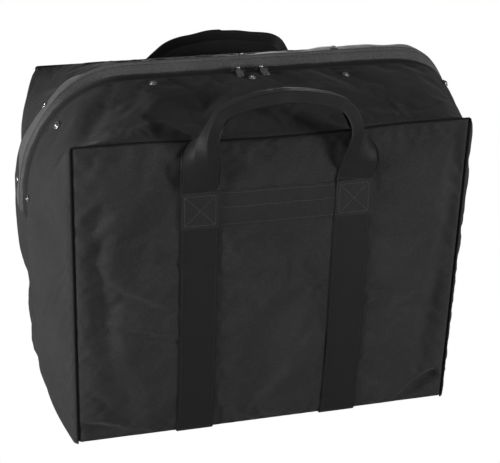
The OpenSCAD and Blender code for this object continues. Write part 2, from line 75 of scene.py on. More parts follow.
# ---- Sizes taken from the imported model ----
HALF_L = high("front_panel", 0)
PANEL_H = high("front_panel", 2)
HALF_D = high("bottom_panel", 1)
BASE_BULGE = high("bottom_panel", 0) - HALF_L
END_X = high("front_gusset_right", 0)
CORNER_X = high("zip_coil_front", 0) + 0.5 * MM
STRAP_X = (low("strap_right", 0) + high("strap_right", 0)) / 2
WEB_W = high("strap_right", 0) - low("strap_right", 0)
STRAP_TOP = high("strap_right", 2)
BAND_Z = low("cross_band_front", 2)

# ---- Sizes of the sewn cloth ----
SIDES = (("front", -1), ("back", 1))
CLOTH_T = 2 * MM
WEB_T = 1.6 * MM
INNER_D = HALF_D - CLOTH_T
CROWN_Z = PANEL_H + 30 * MM
SIDE_TOP_Z = 0.300
SEAM_R = 7 * MM
SEAM_INSET = 4.5 * MM
GROOVE = 8 * MM
# Powers that round the two top corners: the right one is packed squarer than the left one.
LEFT_CORNER = 0.92
RIGHT_CORNER = 0.46
# How far up the ends the zip stops, and how deep its gap in the cloth and its tapes go.
ZIP_END_S = 0.95
EDGE_Y = 9 * MM
TAPE_Y = 16 * MM
# A cloth grid's usual step, and its finer places beside a seam.
CELL = 9 * MM
EDGE_CELLS = [2 * MM, 5 * MM, 10 * MM]


def new_object(name, data):
    obj = bpy.data.objects.new(name, data)
    bpy.context.collection.objects.link(obj)
    return obj


# ---- Camera and light ----
def look():
    data = bpy.data.cameras.new("camera")
    data.sensor_width = 36
    data.lens = 98.6
    cam = new_object("camera", data)
    pitch, yaw, roll = radians(25.95), radians(16.59), radians(2.02)
    ahead = Vector((sin(yaw) * cos(pitch), cos(yaw) * cos(pitch), -sin(pitch)))
    side = Vector((cos(yaw), -sin(yaw), 0))
    up = side.cross(ahead)
    right = side * cos(roll) + up * sin(roll)
    above = up * cos(roll) - side * sin(roll)
    turn = Matrix((right, above, -ahead)).transposed()
    cam.matrix_world = Matrix.Translation((-0.5108, -1.7590, 1.1226)) @ turn.to_4x4()
    bpy.context.scene.camera = cam


def lamp(name, at, towards, size, watts):
    data = bpy.data.lights.new(name, "AREA")
    data.size = size
    data.energy = watts
    obj = new_object(name, data)
    obj.location = at
    obj.rotation_euler = (Vector(towards) - Vector(at)).to_track_quat("-Z", "Y").to_euler()


def white_studio(strength):
    """A white background, with the bag lit by only a part of it."""
    world = bpy.data.worlds.new("studio")
    world.use_nodes = True
    nodes, links = world.node_tree.nodes, world.node_tree.links
    back = nodes["Background"]
    back.inputs["Color"].default_value = (1, 1, 1, 1)
    path = nodes.new("ShaderNodeLightPath")
    level = nodes.new("ShaderNodeMapRange")
    level.inputs["To Min"].default_value = strength
    level.inputs["To Max"].default_value = 1.0
    links.new(path.outputs["Is Camera Ray"], level.inputs["Value"])
    links.new(level.outputs[0], back.inputs["Strength"])
    bpy.context.scene.world = world


def pale_floor():
    """A plain floor, as pale as the background."""
    data = bpy.data.meshes.new("floor")
    reach, below = 4, -1 * MM
    corners = [(-reach, -reach, below), (reach, -reach, below), (reach, reach, below), (-reach, reach, below)]
    data.from_pydata(corners, [], [(0, 1, 2, 3)])
    material = bpy.data.materials.new("pale_floor")
    material.use_nodes = True
    tree = material.node_tree
    shader = tree.nodes["Principled BSDF"]
    shader.inputs["Base Color"].default_value = (0.35, 0.35, 0.35, 1)
    shader.inputs["Roughness"].default_value = 0.9
    glow = tree.nodes.new("ShaderNodeEmission")
    mix = tree.nodes.new("ShaderNodeMixShader")
    path = tree.nodes.new("ShaderNodeLightPath")
    tree.links.new(path.outputs["Is Camera Ray"], mix.inputs[0])
    tree.links.new(shader.outputs[0], mix.inputs[1])
    tree.links.new(glow.outputs[0], mix.inputs[2])
    tree.links.new(mix.outputs[0], tree.nodes["Material Output"].inputs["Surface"])
    data.materials.append(material)
    new_object("floor", data)


look()
lamp("right_key", (2.4, -2.0, 0.85), (0, 0, 0.3), 0.9, 54)
lamp("left_side", (-2.3, -0.5, 0.55), (-0.3, 0, 0.3), 0.8, 56)
lamp("front_fill", (-0.3, -3.0, 1.6), (0, 0, 0.25), 2.0, 10)
lamp("back_fill", (0.9, 2.9, 0.25), (0, 0, 0.2), 0.6, 26)
white_studio(0.10)
pale_floor()
bpy.context.scene.view_settings.view_transform = "Standard"


# ---- Node groups and materials ----
def group(name, inputs, outputs):
    """A shader node group with named sockets; returns the tree and its two end nodes."""
    tree = bpy.data.node_groups.new(name, "ShaderNodeTree")
    for label, kind, value in inputs:
        made = tree.interface.new_socket(label, in_out="INPUT", socket_type=kind)
        if value is not None:
            made.default_value = value
    for label, kind in outputs:
        tree.interface.new_socket(label, in_out="OUTPUT", socket_type=kind)
    return tree, tree.nodes.new("NodeGroupInput"), tree.nodes.new("NodeGroupOutput")


def feed(tree, node, socket, source):
    """Links another node's output to a socket, or sets the socket to a plain value."""
    if hasattr(source, "is_output"):
        tree.links.new(source, node.inputs[socket])
    else:
        node.inputs[socket].default_value = source


def put(tree, kind, links=(), **values):
    """Adds a node, sets its named values, and links (socket, source) pairs into it."""
    node = tree.nodes.new(kind)
    for key, value in values.items():
        setattr(node, key, value)
    for socket, source in links:
        feed(tree, node, socket, source)
    return node


def maths(tree, operation, a, b=0.0, c=0.0):
    return put(tree, "ShaderNodeMath", [(0, a), (1, b), (2, c)], operation=operation).outputs[0]


def mixed(tree, share, a, b):
    node = put(tree, "ShaderNodeMix", [(0, share)], data_type="RGBA")
    feed(tree, node, 6, a)
    feed(tree, node, 7, b)
    return node.outputs[2]


def weave_group():
    """Crossed yarns that go over and under, in the cloth's own lengthways and crossways metres."""
    tree, i, o = group(
        "yarns",
        [("Place", "NodeSocketVector", None), ("Warp Pitch", "NodeSocketFloat", 1.2 * MM),
         ("Weft Pitch", "NodeSocketFloat", 1.2 * MM)],
        [("Height", "NodeSocketFloat"), ("Yarn", "NodeSocketFloat")],
    )
    parts = put(tree, "ShaderNodeSeparateXYZ", [(0, i.outputs["Place"])])
    turns = []
    for axis, pitch in ((0, "Warp Pitch"), (1, "Weft Pitch")):
        share = maths(tree, "DIVIDE", parts.outputs[axis], i.outputs[pitch])
        turns.append(maths(tree, "MULTIPLY", share, 3.14159))
    over = maths(tree, "MULTIPLY", maths(tree, "SINE", turns[0]), maths(tree, "SINE", turns[1]))
    ribs = [maths(tree, "ABSOLUTE", maths(tree, "COSINE", t)) for t in turns]
    lift = maths(tree, "MULTIPLY_ADD", over, 0.5, 0.5)
    under = maths(tree, "MULTIPLY", maths(tree, "SUBTRACT", 1.0, lift), ribs[1])
    height = maths(tree, "MULTIPLY_ADD", lift, ribs[0], under)
    tree.links.new(height, o.inputs["Height"])
    tree.links.new(lift, o.inputs["Yarn"])
    return tree


def use_group():
    """Handling marks: soft pale rubs and a little lint."""
    tree, i, o = group(
        "handling",
        [("Place", "NodeSocketVector", None), ("Rub Size", "NodeSocketFloat", 9.0),
         ("Lint Size", "NodeSocketFloat", 430.0)],
        [("Rub", "NodeSocketFloat"), ("Lint", "NodeSocketFloat")],
    )
    rub = put(tree, "ShaderNodeTexNoise", [("Vector", i.outputs["Place"]), ("Scale", i.outputs["Rub Size"]),
                                           ("Detail", 4.0), ("Roughness", 0.6)])
    soft = put(tree, "ShaderNodeMapRange", [(0, rub.outputs[0]), (1, 0.38), (2, 0.70)])
    lint = put(tree, "ShaderNodeTexNoise", [("Vector", i.outputs["Place"]), ("Scale", i.outputs["Lint Size"]),
                                            ("Detail", 2.0)])
    spots = put(tree, "ShaderNodeMapRange", [(0, lint.outputs[0]), (1, 0.40), (2, 0.75)])
    tree.links.new(soft.outputs[0], o.inputs["Rub"])
    tree.links.new(spots.outputs[0], o.inputs["Lint"])
    return tree


YARNS = weave_group()
HANDLING = use_group()


def shaded(name, metallic=0.0, **sockets):
    material = bpy.data.materials.new(name)
    material.use_nodes = True
    tree = material.node_tree
    shader = tree.nodes["Principled BSDF"]
    shader.inputs["Metallic"].default_value = metallic
    for key, value in sockets.items():
        shader.inputs[key.replace("_", " ")].default_value = value
    return material, tree, shader


def handled(tree):
    """The handling marks, placed on a material."""
    marks = put(tree, "ShaderNodeGroup", node_tree=HANDLING)
    feed(tree, marks, "Place", put(tree, "ShaderNodeTexCoord").outputs["Object"])
    return marks


def cloth(name, dark, pale, warp, weft, depth, rough, sheen):
    """A woven finish: dark yarn, rubbed paler here and there."""
    material, tree, shader = shaded(name, Sheen_Weight=sheen, Sheen_Roughness=0.45, Specular_IOR_Level=0.25)
    shader.inputs["Sheen Tint"].default_value = (0.8, 0.8, 0.85, 1)
    flat = put(tree, "ShaderNodeUVMap", uv_map="cloth")
    yarns = put(tree, "ShaderNodeGroup", node_tree=YARNS)
    for socket, source in (("Place", flat.outputs[0]), ("Warp Pitch", warp), ("Weft Pitch", weft)):
        feed(tree, yarns, socket, source)
    marks = handled(tree)
    rubbed = maths(tree, "MULTIPLY", marks.outputs["Rub"], 0.22)
    tone = maths(tree, "MULTIPLY_ADD", yarns.outputs["Yarn"], 0.40, rubbed)
    tone = maths(tree, "MULTIPLY_ADD", marks.outputs["Lint"], 0.50, tone)
    tree.links.new(mixed(tree, tone, dark, pale), shader.inputs["Base Color"])
    spread = maths(tree, "MULTIPLY_ADD", marks.outputs["Rub"], -0.10, rough)
    tree.links.new(spread, shader.inputs["Roughness"])
    bump = put(tree, "ShaderNodeBump", [("Height", yarns.outputs["Height"]), ("Distance", depth), ("Strength", 0.8)])
    tree.links.new(bump.outputs[0], shader.inputs["Normal"])
    return material


def metal(name, bright, worn, rough):
    """Plated metal with a dull, slightly blotched surface."""
    material, tree, shader = shaded(name, metallic=1.0)
    marks = handled(tree)
    marks.inputs["Rub Size"].default_value = 260.0
    tree.links.new(mixed(tree, marks.outputs["Rub"], bright, worn), shader.inputs["Base Color"])
    tree.links.new(maths(tree, "MULTIPLY_ADD", marks.outputs["Rub"], 0.2, rough), shader.inputs["Roughness"])
    bump = put(tree, "ShaderNodeBump", [("Height", marks.outputs["Lint"]), ("Distance", 0.02 * MM)])
    tree.links.new(bump.outputs[0], shader.inputs["Normal"])
    return material


def grey(value):
    return (value, value, value * 1.03, 1.0)


NYLON = cloth("nylon_cloth", grey(0.014), grey(0.039), 1.1 * MM, 1.1 * MM, 0.16 * MM, 0.80, 0.10)
# The flap's coated face is paler than the shell cloth. Its colour is raised further still, a painted highlight
# standing in for the sheen that face catches.
PALE_FLAP_CLOTH_AND_HIGHLIGHT = cloth("flap_cloth", grey(0.055), grey(0.14), 1.1 * MM, 1.1 * MM, 0.14 * MM, 0.72, 0.16)
WEBBING = cloth("webbing", grey(0.008), grey(0.016), 1.9 * MM, 1.2 * MM, 0.12 * MM, 0.62, 0.08)
RUBBED_WEBBING = cloth("rubbed_webbing", grey(0.011), grey(0.028), 2.6 * MM, 1.5 * MM, 0.30 * MM, 0.70, 0.14)
TAPE = cloth("zip_tape", grey(0.010), grey(0.022), 1.6 * MM, 0.9 * MM, 0.15 * MM, 0.85, 0.05)
THREAD = cloth("thread", grey(0.012), grey(0.030), 0.5 * MM, 0.5 * MM, 0.05 * MM, 0.6, 0.1)
PALE_THREAD = cloth("pale_thread", grey(0.040), grey(0.10), 0.5 * MM, 0.5 * MM, 0.05 * MM, 0.6, 0.1)
# Near black, darker than the shell: the seam binding's own dark tone, darkened further as painted shade in the seam
# grooves.
BINDING_AND_PAINTED_SEAM_SHADE = cloth("binding", grey(0.004), grey(0.009), 1.0 * MM, 1.0 * MM, 0.05 * MM, 0.9, 0.0)
COIL, coil_tree, coil_shader = shaded("zip_coil", Roughness=0.38)
coil_tone = mixed(coil_tree, handled(coil_tree).outputs["Rub"], grey(0.012), grey(0.035))
coil_tree.links.new(coil_tone, coil_shader.inputs["Base Color"])
NICKEL = metal("worn_nickel", (0.62, 0.62, 0.60, 1), (0.25, 0.25, 0.25, 1), 0.24)
BLACK_METAL = metal("black_enamel", (0.05, 0.05, 0.05, 1), (0.13, 0.13, 0.13, 1), 0.35)


# ---- Grids of points ----
def refine(points):
    """Twice as many points each way, on a smooth surface through the ones given."""
    for axis in (0, 1):
        p = np.moveaxis(points, axis, 0)
        padded = np.concatenate([2 * p[:1] - p[1:2], p, 2 * p[-1:] - p[-2:-1]])
        between = (9 * (padded[1:-2] + padded[2:-1]) - padded[:-3] - padded[3:]) / 16
        out = np.empty((2 * len(p) - 1,) + p.shape[1:])
        out[0::2] = p
        out[1::2] = between
        points = np.moveaxis(out, 0, axis)
    return points


def facing(points, outward):
    """Unit normals of a grid, on the side that outward points to, a vector or a grid of them."""
    n = np.cross(np.gradient(points, axis=0), np.gradient(points, axis=1))
    n /= np.maximum(np.linalg.norm(n, axis=2, keepdims=True), 1e-12)
    if np.sum(n * np.asarray(outward)) < 0:
        n = -n
    return n


def arc(path):
    """How far along a path each of its points lies."""
    return np.concatenate([[0], np.cumsum(np.linalg.norm(np.diff(path, axis=0), axis=1))])


def read_off(at, run, values):
    """Rows of values, read off at distances along a path."""
    return np.stack([np.interp(at, run, values[:, k]) for k in range(values.shape[1])], axis=-1)


def joined(count, across, closed=False):
    """The quads between rows of points; closed joins the ends of each row, as on a tube."""
    i, j = np.meshgrid(np.arange(count - 1), np.arange(across if closed else across - 1), indexing="ij")
    k = (j + 1) % across
    quads = [i * across + j, i * across + k, (i + 1) * across + k, (i + 1) * across + j]
    return np.stack(quads, axis=-1).reshape(-1, 4)


def lengths(points, axis):
    steps = np.linalg.norm(np.diff(points, axis=axis), axis=2)
    start = np.zeros_like(np.take(steps, [0], axis=axis))
    return np.concatenate([start, np.cumsum(steps, axis=axis)], axis=axis)


def add_mesh(name, verts, faces, material, normals=None, uvs=None):
    """A smooth mesh object; normals and uvs are given for each corner of each face."""
    mesh = bpy.data.meshes.new(name)
    mesh.from_pydata([tuple(v) for v in verts], [], [tuple(f) for f in faces])
    mesh.polygons.foreach_set("use_smooth", [True] * len(mesh.polygons))
    if uvs is not None:
        layer = mesh.uv_layers.new(name="cloth")
        layer.data.foreach_set("uv", np.asarray(uvs, np.float32).ravel())
    if normals is not None:
        mesh.normals_split_custom_set([tuple(n) for n in normals])
    mesh.materials.append(material)
    return new_object(name, mesh)


def sheet_piece(name, points, normals, thickness, material):
    """Cloth with a thickness: the grid is its outer face, and the inner face lies inside it."""
    rows, cols = points.shape[:2]
    n = rows * cols
    inner = points - normals * thickness
    verts = np.concatenate([points.reshape(-1, 3), inner.reshape(-1, 3)])
    quads = joined(rows, cols)
    mid_r, mid_c = rows // 2, cols // 2
    middle = points[mid_r, mid_c]
    across = np.cross(middle - points[mid_r - 1, mid_c], middle - points[mid_r, mid_c - 1])
    if np.dot(across, normals[mid_r, mid_c]) > 0:
        quads = quads[:, ::-1]
    flat_n = normals.reshape(-1, 3)
    uv = np.stack([lengths(points, 1), lengths(points, 0)], axis=-1).reshape(-1, 2)
    faces = [quads, quads[:, ::-1] + n]
    corner_n = [flat_n[quads.ravel()], -flat_n[quads[:, ::-1].ravel()]]
    corner_uv = [uv[quads.ravel()], uv[quads[:, ::-1].ravel()]]
    edge = np.concatenate([
        np.arange(cols), (np.arange(1, rows)) * cols + cols - 1,
        (rows - 1) * cols + np.arange(cols - 2, -1, -1), np.arange(rows - 2, -1, -1) * cols,
    ])
    first, second = edge[:-1], edge[1:]
    rim = np.stack([first, second, second + n, first + n], axis=-1)
    centre = verts.mean(axis=0)
    side = np.cross(verts[rim[:, 1]] - verts[rim[:, 0]], verts[rim[:, 3]] - verts[rim[:, 0]])
    if np.sum(side * (verts[rim].mean(axis=1) - centre)) < 0:
        rim = rim[:, ::-1]
        side = -side
    side /= np.maximum(np.linalg.norm(side, axis=1, keepdims=True), 1e-12)
    faces.append(rim)
    corner_n.append(np.repeat(side, 4, axis=0))
    corner_uv.append(uv[(rim % n).ravel()])
    return add_mesh(name, verts, np.concatenate(faces), material, np.concatenate(corner_n), np.concatenate(corner_uv))


SETTLING_FRAMES = 26


def settle(points, hold, grow, cap):
    """Cloth cut too large by the share grow: it buckles between its held points, by cap at most."""
    rows, cols = points.shape[:2]
    quads = joined(rows, cols)
    free = (1 - hold)[..., None]
    start = points + rng.normal(0, 0.25 * MM, points.shape) * free
    mesh = bpy.data.meshes.new("settling")
    mesh.from_pydata([tuple(v) for v in start.reshape(-1, 3)], [], [tuple(q) for q in quads])
    obj = new_object("settling", mesh)
    pins = obj.vertex_groups.new(name="hold")
    for index, weight in enumerate(hold.ravel()):
        pins.add([index], float(weight), "REPLACE")
    mod = obj.modifiers.new("cloth", "CLOTH")
    s = mod.settings
    s.quality = 6
    s.mass = 0.25
    s.tension_stiffness = s.compression_stiffness = 18
    s.shear_stiffness = 6
    s.bending_stiffness = 0.6
    s.air_damping = 3
    s.vertex_group_mass = "hold"
    s.shrink_min = -grow
    s.effector_weights.gravity = 0
    mod.collision_settings.use_collision = False
    mod.point_cache.frame_start = 1
    mod.point_cache.frame_end = SETTLING_FRAMES
    scene = bpy.context.scene
    for number in range(1, SETTLING_FRAMES + 1):
        scene.frame_set(number)
    done = obj.evaluated_get(bpy.context.evaluated_depsgraph_get()).to_mesh()
    out = np.empty(rows * cols * 3)
    done.vertices.foreach_get("co", out)
    scene.frame_set(1)
    bpy.data.objects.remove(obj)
    moved = out.reshape(points.shape) - points
    far = np.maximum(np.linalg.norm(moved, axis=2, keepdims=True), 1e-9)
    return points + moved * np.minimum(1, cap / far) * np.minimum(1, free * 4)


def spaced(length, step, ends):
    """Places from 0 to length: the given ones close to both ends, and even steps between."""
    inner = length - 2 * ends[-1]
    count = max(2, round(inner / step))
    middle = ends[-1] + inner * np.arange(1, count) / count
    return np.concatenate([[0], ends, middle, length - np.array(ends[::-1]), [length]])


# ---- Outlines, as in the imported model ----
def seam_at(distance, inset=0.0):
    """The left half of the panels' seam, by the distance along it from the floor: x and z."""
    side = PANEL_H - SEAM_R
    arc = SEAM_R * np.pi / 2
    d = np.asarray(distance, float)
    a = np.clip((d - side) / arc, 0, 1) * np.pi / 2
    r = SEAM_R - inset
    x = -(HALF_L - SEAM_R) - r * np.cos(a) + np.maximum(0, d - side - arc)
    z = np.where(d < side, np.minimum(d, side), side + r * np.sin(a))
    return np.stack([x, z], axis=-1)


SEAM_SIDE = PANEL_H - SEAM_R
SEAM_BEND = SEAM_R * np.pi / 2 + (HALF_L - SEAM_R) - CORNER_X


def outlines(t, inset=0.0):
    """Seam point, middle point and end share for a place t: 0 and 6 at the floor, 3 at the top."""
    t = np.asarray(t, float)
    s = np.where(t <= 3, t, 6 - t)
    side = np.where(t <= 3, 1.0, -1.0)
    along = np.where(s <= 1, s * SEAM_SIDE, np.where(s <= 2, SEAM_SIDE + SEAM_BEND * (s - 1),
                                                     SEAM_SIDE + SEAM_BEND + CORNER_X * (s - 2)))
    seam = seam_at(along, inset)
    a = np.clip(s - 1, 0, 1) * np.pi / 2
    bulge = BASE_BULGE + (END_X - HALF_L - BASE_BULGE) * np.sin(np.clip(s, 0, 1) * np.pi / 2)
    square = np.where(t <= 3, LEFT_CORNER, RIGHT_CORNER)
    corner_x = -CORNER_X - (END_X - CORNER_X) * np.cos(a) ** square
    corner_z = SIDE_TOP_Z + (CROWN_Z - SIDE_TOP_Z) * np.sin(a) ** square
    x = np.where(s <= 1, -(HALF_L + bulge), np.where(s <= 2, corner_x, -CORNER_X * (3 - s)))
    z = np.where(s <= 1, s * SIDE_TOP_Z, np.where(s <= 2, corner_z, CROWN_Z))
    mid = np.stack([x, z], axis=-1)
    share = np.where(s <= 1, 1.0, np.where(s <= 2, 2 - s, 0.0))
    flip = np.stack([side, np.ones_like(side)], axis=-1)
    return seam * flip, mid * flip, share


def skin(t, y, inset=0.0):
    """The shell between the two panels, at place t and depth y."""
    t, y = np.broadcast_arrays(np.asarray(t, float), np.asarray(y, float))
    q = 1 - np.abs(y) / INNER_D
    seam, mid, share = outlines(t, inset)
    # The right end, and the back half of the left end, are packed fuller than a plain arch.
    rounded = np.where((t > 3) | (y > 0), 1 - (1 - np.clip(q, 0, 1)) ** 2.6, np.sin(q * np.pi / 2))
    g = ((1 - share) * q + share * rounded)[..., None]
    p = seam + (mid - seam) * g
    # The back half of the left end bulges most.
    plump = 9 * MM * 4 * q * (1 - q) * np.sin(np.pi * np.clip(t / 1.7, 0, 1)) * ((y > 0) & (t < 3))
    return np.stack([p[..., 0] - plump, y, p[..., 1]], axis=-1)


def crown(t):
    """The middle outline at t and its outward direction, both in x and z."""
    step = 1e-3
    t = np.asarray(t, float)
    a = outlines(np.clip(t - step, 0, 6))[1]
    b = outlines(np.clip(t + step, 0, 6))[1]
    d = b - a
    d /= np.linalg.norm(d, axis=-1, keepdims=True)
    return outlines(t)[1], np.stack([-d[..., 1], d[..., 0]], axis=-1)


def t_at(x):
    """The place t at which the middle outline's round corner is at x."""
    a = np.arccos(((abs(x) - CORNER_X) / (END_X - CORNER_X)) ** (1 / (LEFT_CORNER if x < 0 else RIGHT_CORNER)))
    s = 1 + a / (np.pi / 2)
    return float(s if x < 0 else 6 - s)


def groove(distance):
    """How far cloth turns in at a seam, by its distance from the seam."""
    return SEAM_INSET * np.clip(1 - distance / GROOVE, 0, 1) ** 2


# ---- Shell cloth ----
def bulge_at(x, z):
    """How far a packed face stands out from its seams."""
    u = np.minimum(1, np.abs(x) / HALF_L)
    w = np.clip(z / PANEL_H, 0, 1)
    return 12 * MM * np.sqrt(np.maximum(0, 1 - u ** 4)) * np.maximum(0, np.sin(np.pi * w ** 0.85)) ** 0.7


def top_sag(x):
    """The long top seam hangs a little between the two handles."""
    return 6 * MM * np.clip(1 - (x / 0.185) ** 2, 0, 1) ** 1.5


# Creases pressed into the panels by handling: start and end (x, z) and half width in metres, depth in mm.
FRONT_CREASES = [
    # hollows beside the two side seams
    ((-0.243, 0.385), (-0.246, 0.270), 0.013, -7.0), ((-0.246, 0.300), (-0.226, 0.110), 0.014, -6.5),
    ((0.262, 0.440), (0.248, 0.250), 0.014, -7.0), ((0.250, 0.290), (0.236, 0.070), 0.018, -8.0),
    # folds that run in from the left seam and under the strap
    ((-0.272, 0.345), (-0.235, 0.385), 0.007, 3.0), ((-0.268, 0.300), (-0.225, 0.350), 0.008, 3.2),
    ((-0.232, 0.262), (-0.140, 0.208), 0.008, 3.6), ((-0.222, 0.243), (-0.135, 0.196), 0.007, -3.2),
    ((-0.218, 0.196), (-0.110, 0.160), 0.008, 2.8), ((-0.210, 0.181), (-0.105, 0.147), 0.008, -2.6),
    ((-0.200, 0.262), (-0.136, 0.254), 0.0022, -1.2), ((-0.190, 0.290), (-0.075, 0.262), 0.010, -2.2),
    ((-0.185, 0.330), (-0.150, 0.250), 0.016, 3.0), ((-0.230, 0.120), (-0.190, 0.060), 0.018, -2.8),
    # the middle, between the straps
    ((-0.078, 0.252), (0.010, 0.232), 0.009, -2.4), ((-0.070, 0.268), (0.030, 0.262), 0.010, 2.0),
    ((-0.075, 0.298), (0.040, 0.306), 0.012, -1.6), ((-0.010, 0.052), (0.040, 0.098), 0.008, 2.2),
    ((-0.080, 0.030), (0.075, 0.020), 0.010, 2.4), ((0.150, 0.300), (0.200, 0.200), 0.022, 2.0),
    # the two bottom corners are tucked under
    ((0.205, 0.016), (0.272, 0.052), 0.012, -13.0), ((0.255, 0.066), (0.276, 0.040), 0.006, 5.0),
    ((-0.272, 0.030), (-0.200, 0.012), 0.009, -8.0), ((-0.272, 0.048), (-0.215, 0.030), 0.006, 4.0),
]
BACK_CREASES = [
    ((-0.230, 0.330), (-0.150, 0.270), 0.016, 2.4), ((0.235, 0.260), (0.140, 0.220), 0.018, -2.2),
    ((-0.060, 0.240), (0.050, 0.215), 0.016, 1.8), ((0.150, 0.130), (0.250, 0.090), 0.016, 2.0),
    ((-0.250, 0.140), (-0.160, 0.090), 0.018, -2.4), ((0.262, 0.400), (0.190, 0.340), 0.012, -2.4),
]


def creased(x, z, creases, scale=1.0, tip=0.08):
    """Height of the creases at x and z; scale is the metres in a step of x, tip how soon a crease begins."""
    out = np.zeros_like(x)
    for (x0, z0), (x1, z1), width, depth in creases:
        dx, dz = (x1 - x0) * scale, z1 - z0
        run = np.clip(((x - x0) * scale * dx + (z - z0) * dz) / (dx * dx + dz * dz), 0, 1)
        away = np.hypot((x - x0) * scale - run * dx, z - z0 - run * dz)
        swell = np.sin(np.pi * np.clip(tip + (1 - 2 * tip) * run, 0, 1))
        out += depth * MM * np.exp(-(away / width) ** 2) * swell
    return out


def puckers(x, z, seed):
    """Small gathers that the sewing leaves along the seams, fading into the cloth."""
    g = np.random.default_rng(seed)
    out = np.zeros_like(x)
    for edge, place in ((PANEL_H - z, x), (HALF_L - np.abs(x), z + np.sign(x))):
        wave = np.zeros_like(x)
        for _ in range(5):
            pitch = g.uniform(0.016, 0.05)
            wave += np.sin(place * 2 * np.pi / pitch + g.uniform(0, 6.28) + 30 * edge)
        out += 0.5 * MM * wave * np.exp(-np.maximum(edge, 0) / 0.022) * np.where(x < -0.1, 1.3, 0.5)
    return out


def face_panel(side, creases, seed):
    """The front (side -1) or back (side 1) panel; returns its points and normals."""
    foot = 4 * MM
    zs = spaced(PANEL_H - foot, CELL, EDGE_CELLS) + foot
    us = spaced(2 * HALF_L, CELL, EDGE_CELLS) / HALF_L - 1
    z, u = np.meshgrid(zs, us, indexing="ij")
    rise = np.clip(z - (PANEL_H - SEAM_R), 0, SEAM_R)
    half = HALF_L - SEAM_R + np.sqrt(SEAM_R ** 2 - rise ** 2) - SEAM_INSET
    x = u * half
    edge = np.minimum(np.minimum(half - np.abs(x), PANEL_H - z), z)
    lift = bulge_at(x, z) + creased(x, z, creases) + puckers(x, z, seed)
    sag = top_sag(x) * np.exp(-((PANEL_H - z) / 0.12) ** 2) if side < 0 else 0 * x
    z_in = z - groove(PANEL_H - z) - sag
    forward = lift - groove(edge) + 0.6 * sag
    fade = np.clip(edge / (12 * MM), 0, 1)
    forward = np.where(edge < 12 * MM, fade * forward - (1 - fade) * groove(edge), forward)
    points = np.stack([x, side * (HALF_D + forward), z_in], axis=-1)
    # The straps' sewn edges and the seams hold the cloth.
    near_strap = np.abs(np.abs(x) - STRAP_X) < WEB_W / 2 + 4 * MM
    held = np.where(near_strap & (z < STRAP_TOP + 4 * MM), 0.85, 0.0)
    near_band = (np.abs(x) < STRAP_X) & (z > BAND_Z) & (z < STRAP_TOP)
    held = np.maximum(held, np.where(near_band, 0.85, 0.0))
    held = np.maximum(held, np.clip(1.2 - edge / (14 * MM), 0, 1))
    points = refine(settle(points, held, 0.012, 6 * MM))
    return points, facing(points, (0, side, 0))


FRONT, FRONT_N = face_panel(-1, FRONT_CREASES, 3)
BACK, BACK_N = face_panel(1, BACK_CREASES, 5)


def finish_piece(obj, nodes, body=None, blend=None):
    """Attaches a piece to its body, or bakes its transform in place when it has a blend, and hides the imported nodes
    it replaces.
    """
    if blend:
        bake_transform(obj)
    else:
        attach(obj, body)
    if nodes:
        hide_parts(*nodes)


def place_sheet(name, points, normals, thickness, material, slot, nodes, body=None, blend=None):
    obj = sheet_piece(name, points, normals, thickness, material)
    finish_piece(obj, nodes, body, blend)
    return obj


def shell(name, grid, node, body=None, blend=None):
    """One cut of the bag's own cloth."""
    return place_sheet(name, *grid, CLOTH_T, NYLON, "shell_cloth", [node], body, blend)


shell("front_panel_cloth", (FRONT, FRONT_N), "front_panel", "root")
shell("back_panel_cloth", (BACK, BACK_N), "back_panel", "root")

# The strip runs up one end, over the top and down the other end. Its creases: start and end
# (t, y), half width, depth.
END_CREASES = [
    ((0.10, -0.10), (0.22, 0.06), 0.020, 4.0), ((0.42, 0.10), (0.60, -0.04), 0.026, -3.0),
    ((0.72, -0.13), (0.98, -0.07), 0.016, -3.2), ((0.30, -0.12), (0.55, -0.13), 0.014, 2.4),
    ((1.35, -0.14), (1.75, -0.06), 0.018, -3.6), ((1.10, -0.10), (1.40, -0.12), 0.016, 2.8),
    ((2.30, -0.12), (2.75, -0.05), 0.020, -2.6), ((3.10, -0.13), (3.60, -0.07), 0.018, 2.2),
    ((4.20, -0.14), (4.70, -0.05), 0.018, -3.0), ((2.20, 0.13), (2.80, 0.07), 0.018, -2.6),
    ((3.20, 0.06), (3.90, 0.13), 0.018, -2.6), ((1.30, 0.13), (1.70, 0.08), 0.016, -3.0),
    ((5.30, -0.10), (5.60, 0.05), 0.020, 3.2), ((5.75, 0.10), (5.85, -0.08), 0.018, -3.0),
]


def strip_places():
    """The strip's rows, as places t, and its columns, as depths y."""
    dense = np.linspace(0, 6, 1201)
    seam, mid = outlines(dense)[:2]
    run = arc(0.35 * seam + 0.65 * mid)
    marks = [0, ZIP_END_S, 2, 3, 4, 6 - ZIP_END_S, 6]
    ts = [0.0]
    for a, b in zip(marks, marks[1:]):
        da, db = np.interp([a, b], dense, run)
        count = max(2, int(np.ceil((db - da) / CELL)))
        ts += list(np.interp(np.linspace(da, db, count + 1)[1:], run, dense))
    half = spaced(INNER_D, CELL, EDGE_CELLS)
    half = np.unique(np.round(np.concatenate([half, [EDGE_Y]]), 6))
    half = half[(half < 6 * MM) | (half > EDGE_Y - 0.1 * MM) | (half == 0)]
    return np.array(ts), np.concatenate([-half[:0:-1], half])


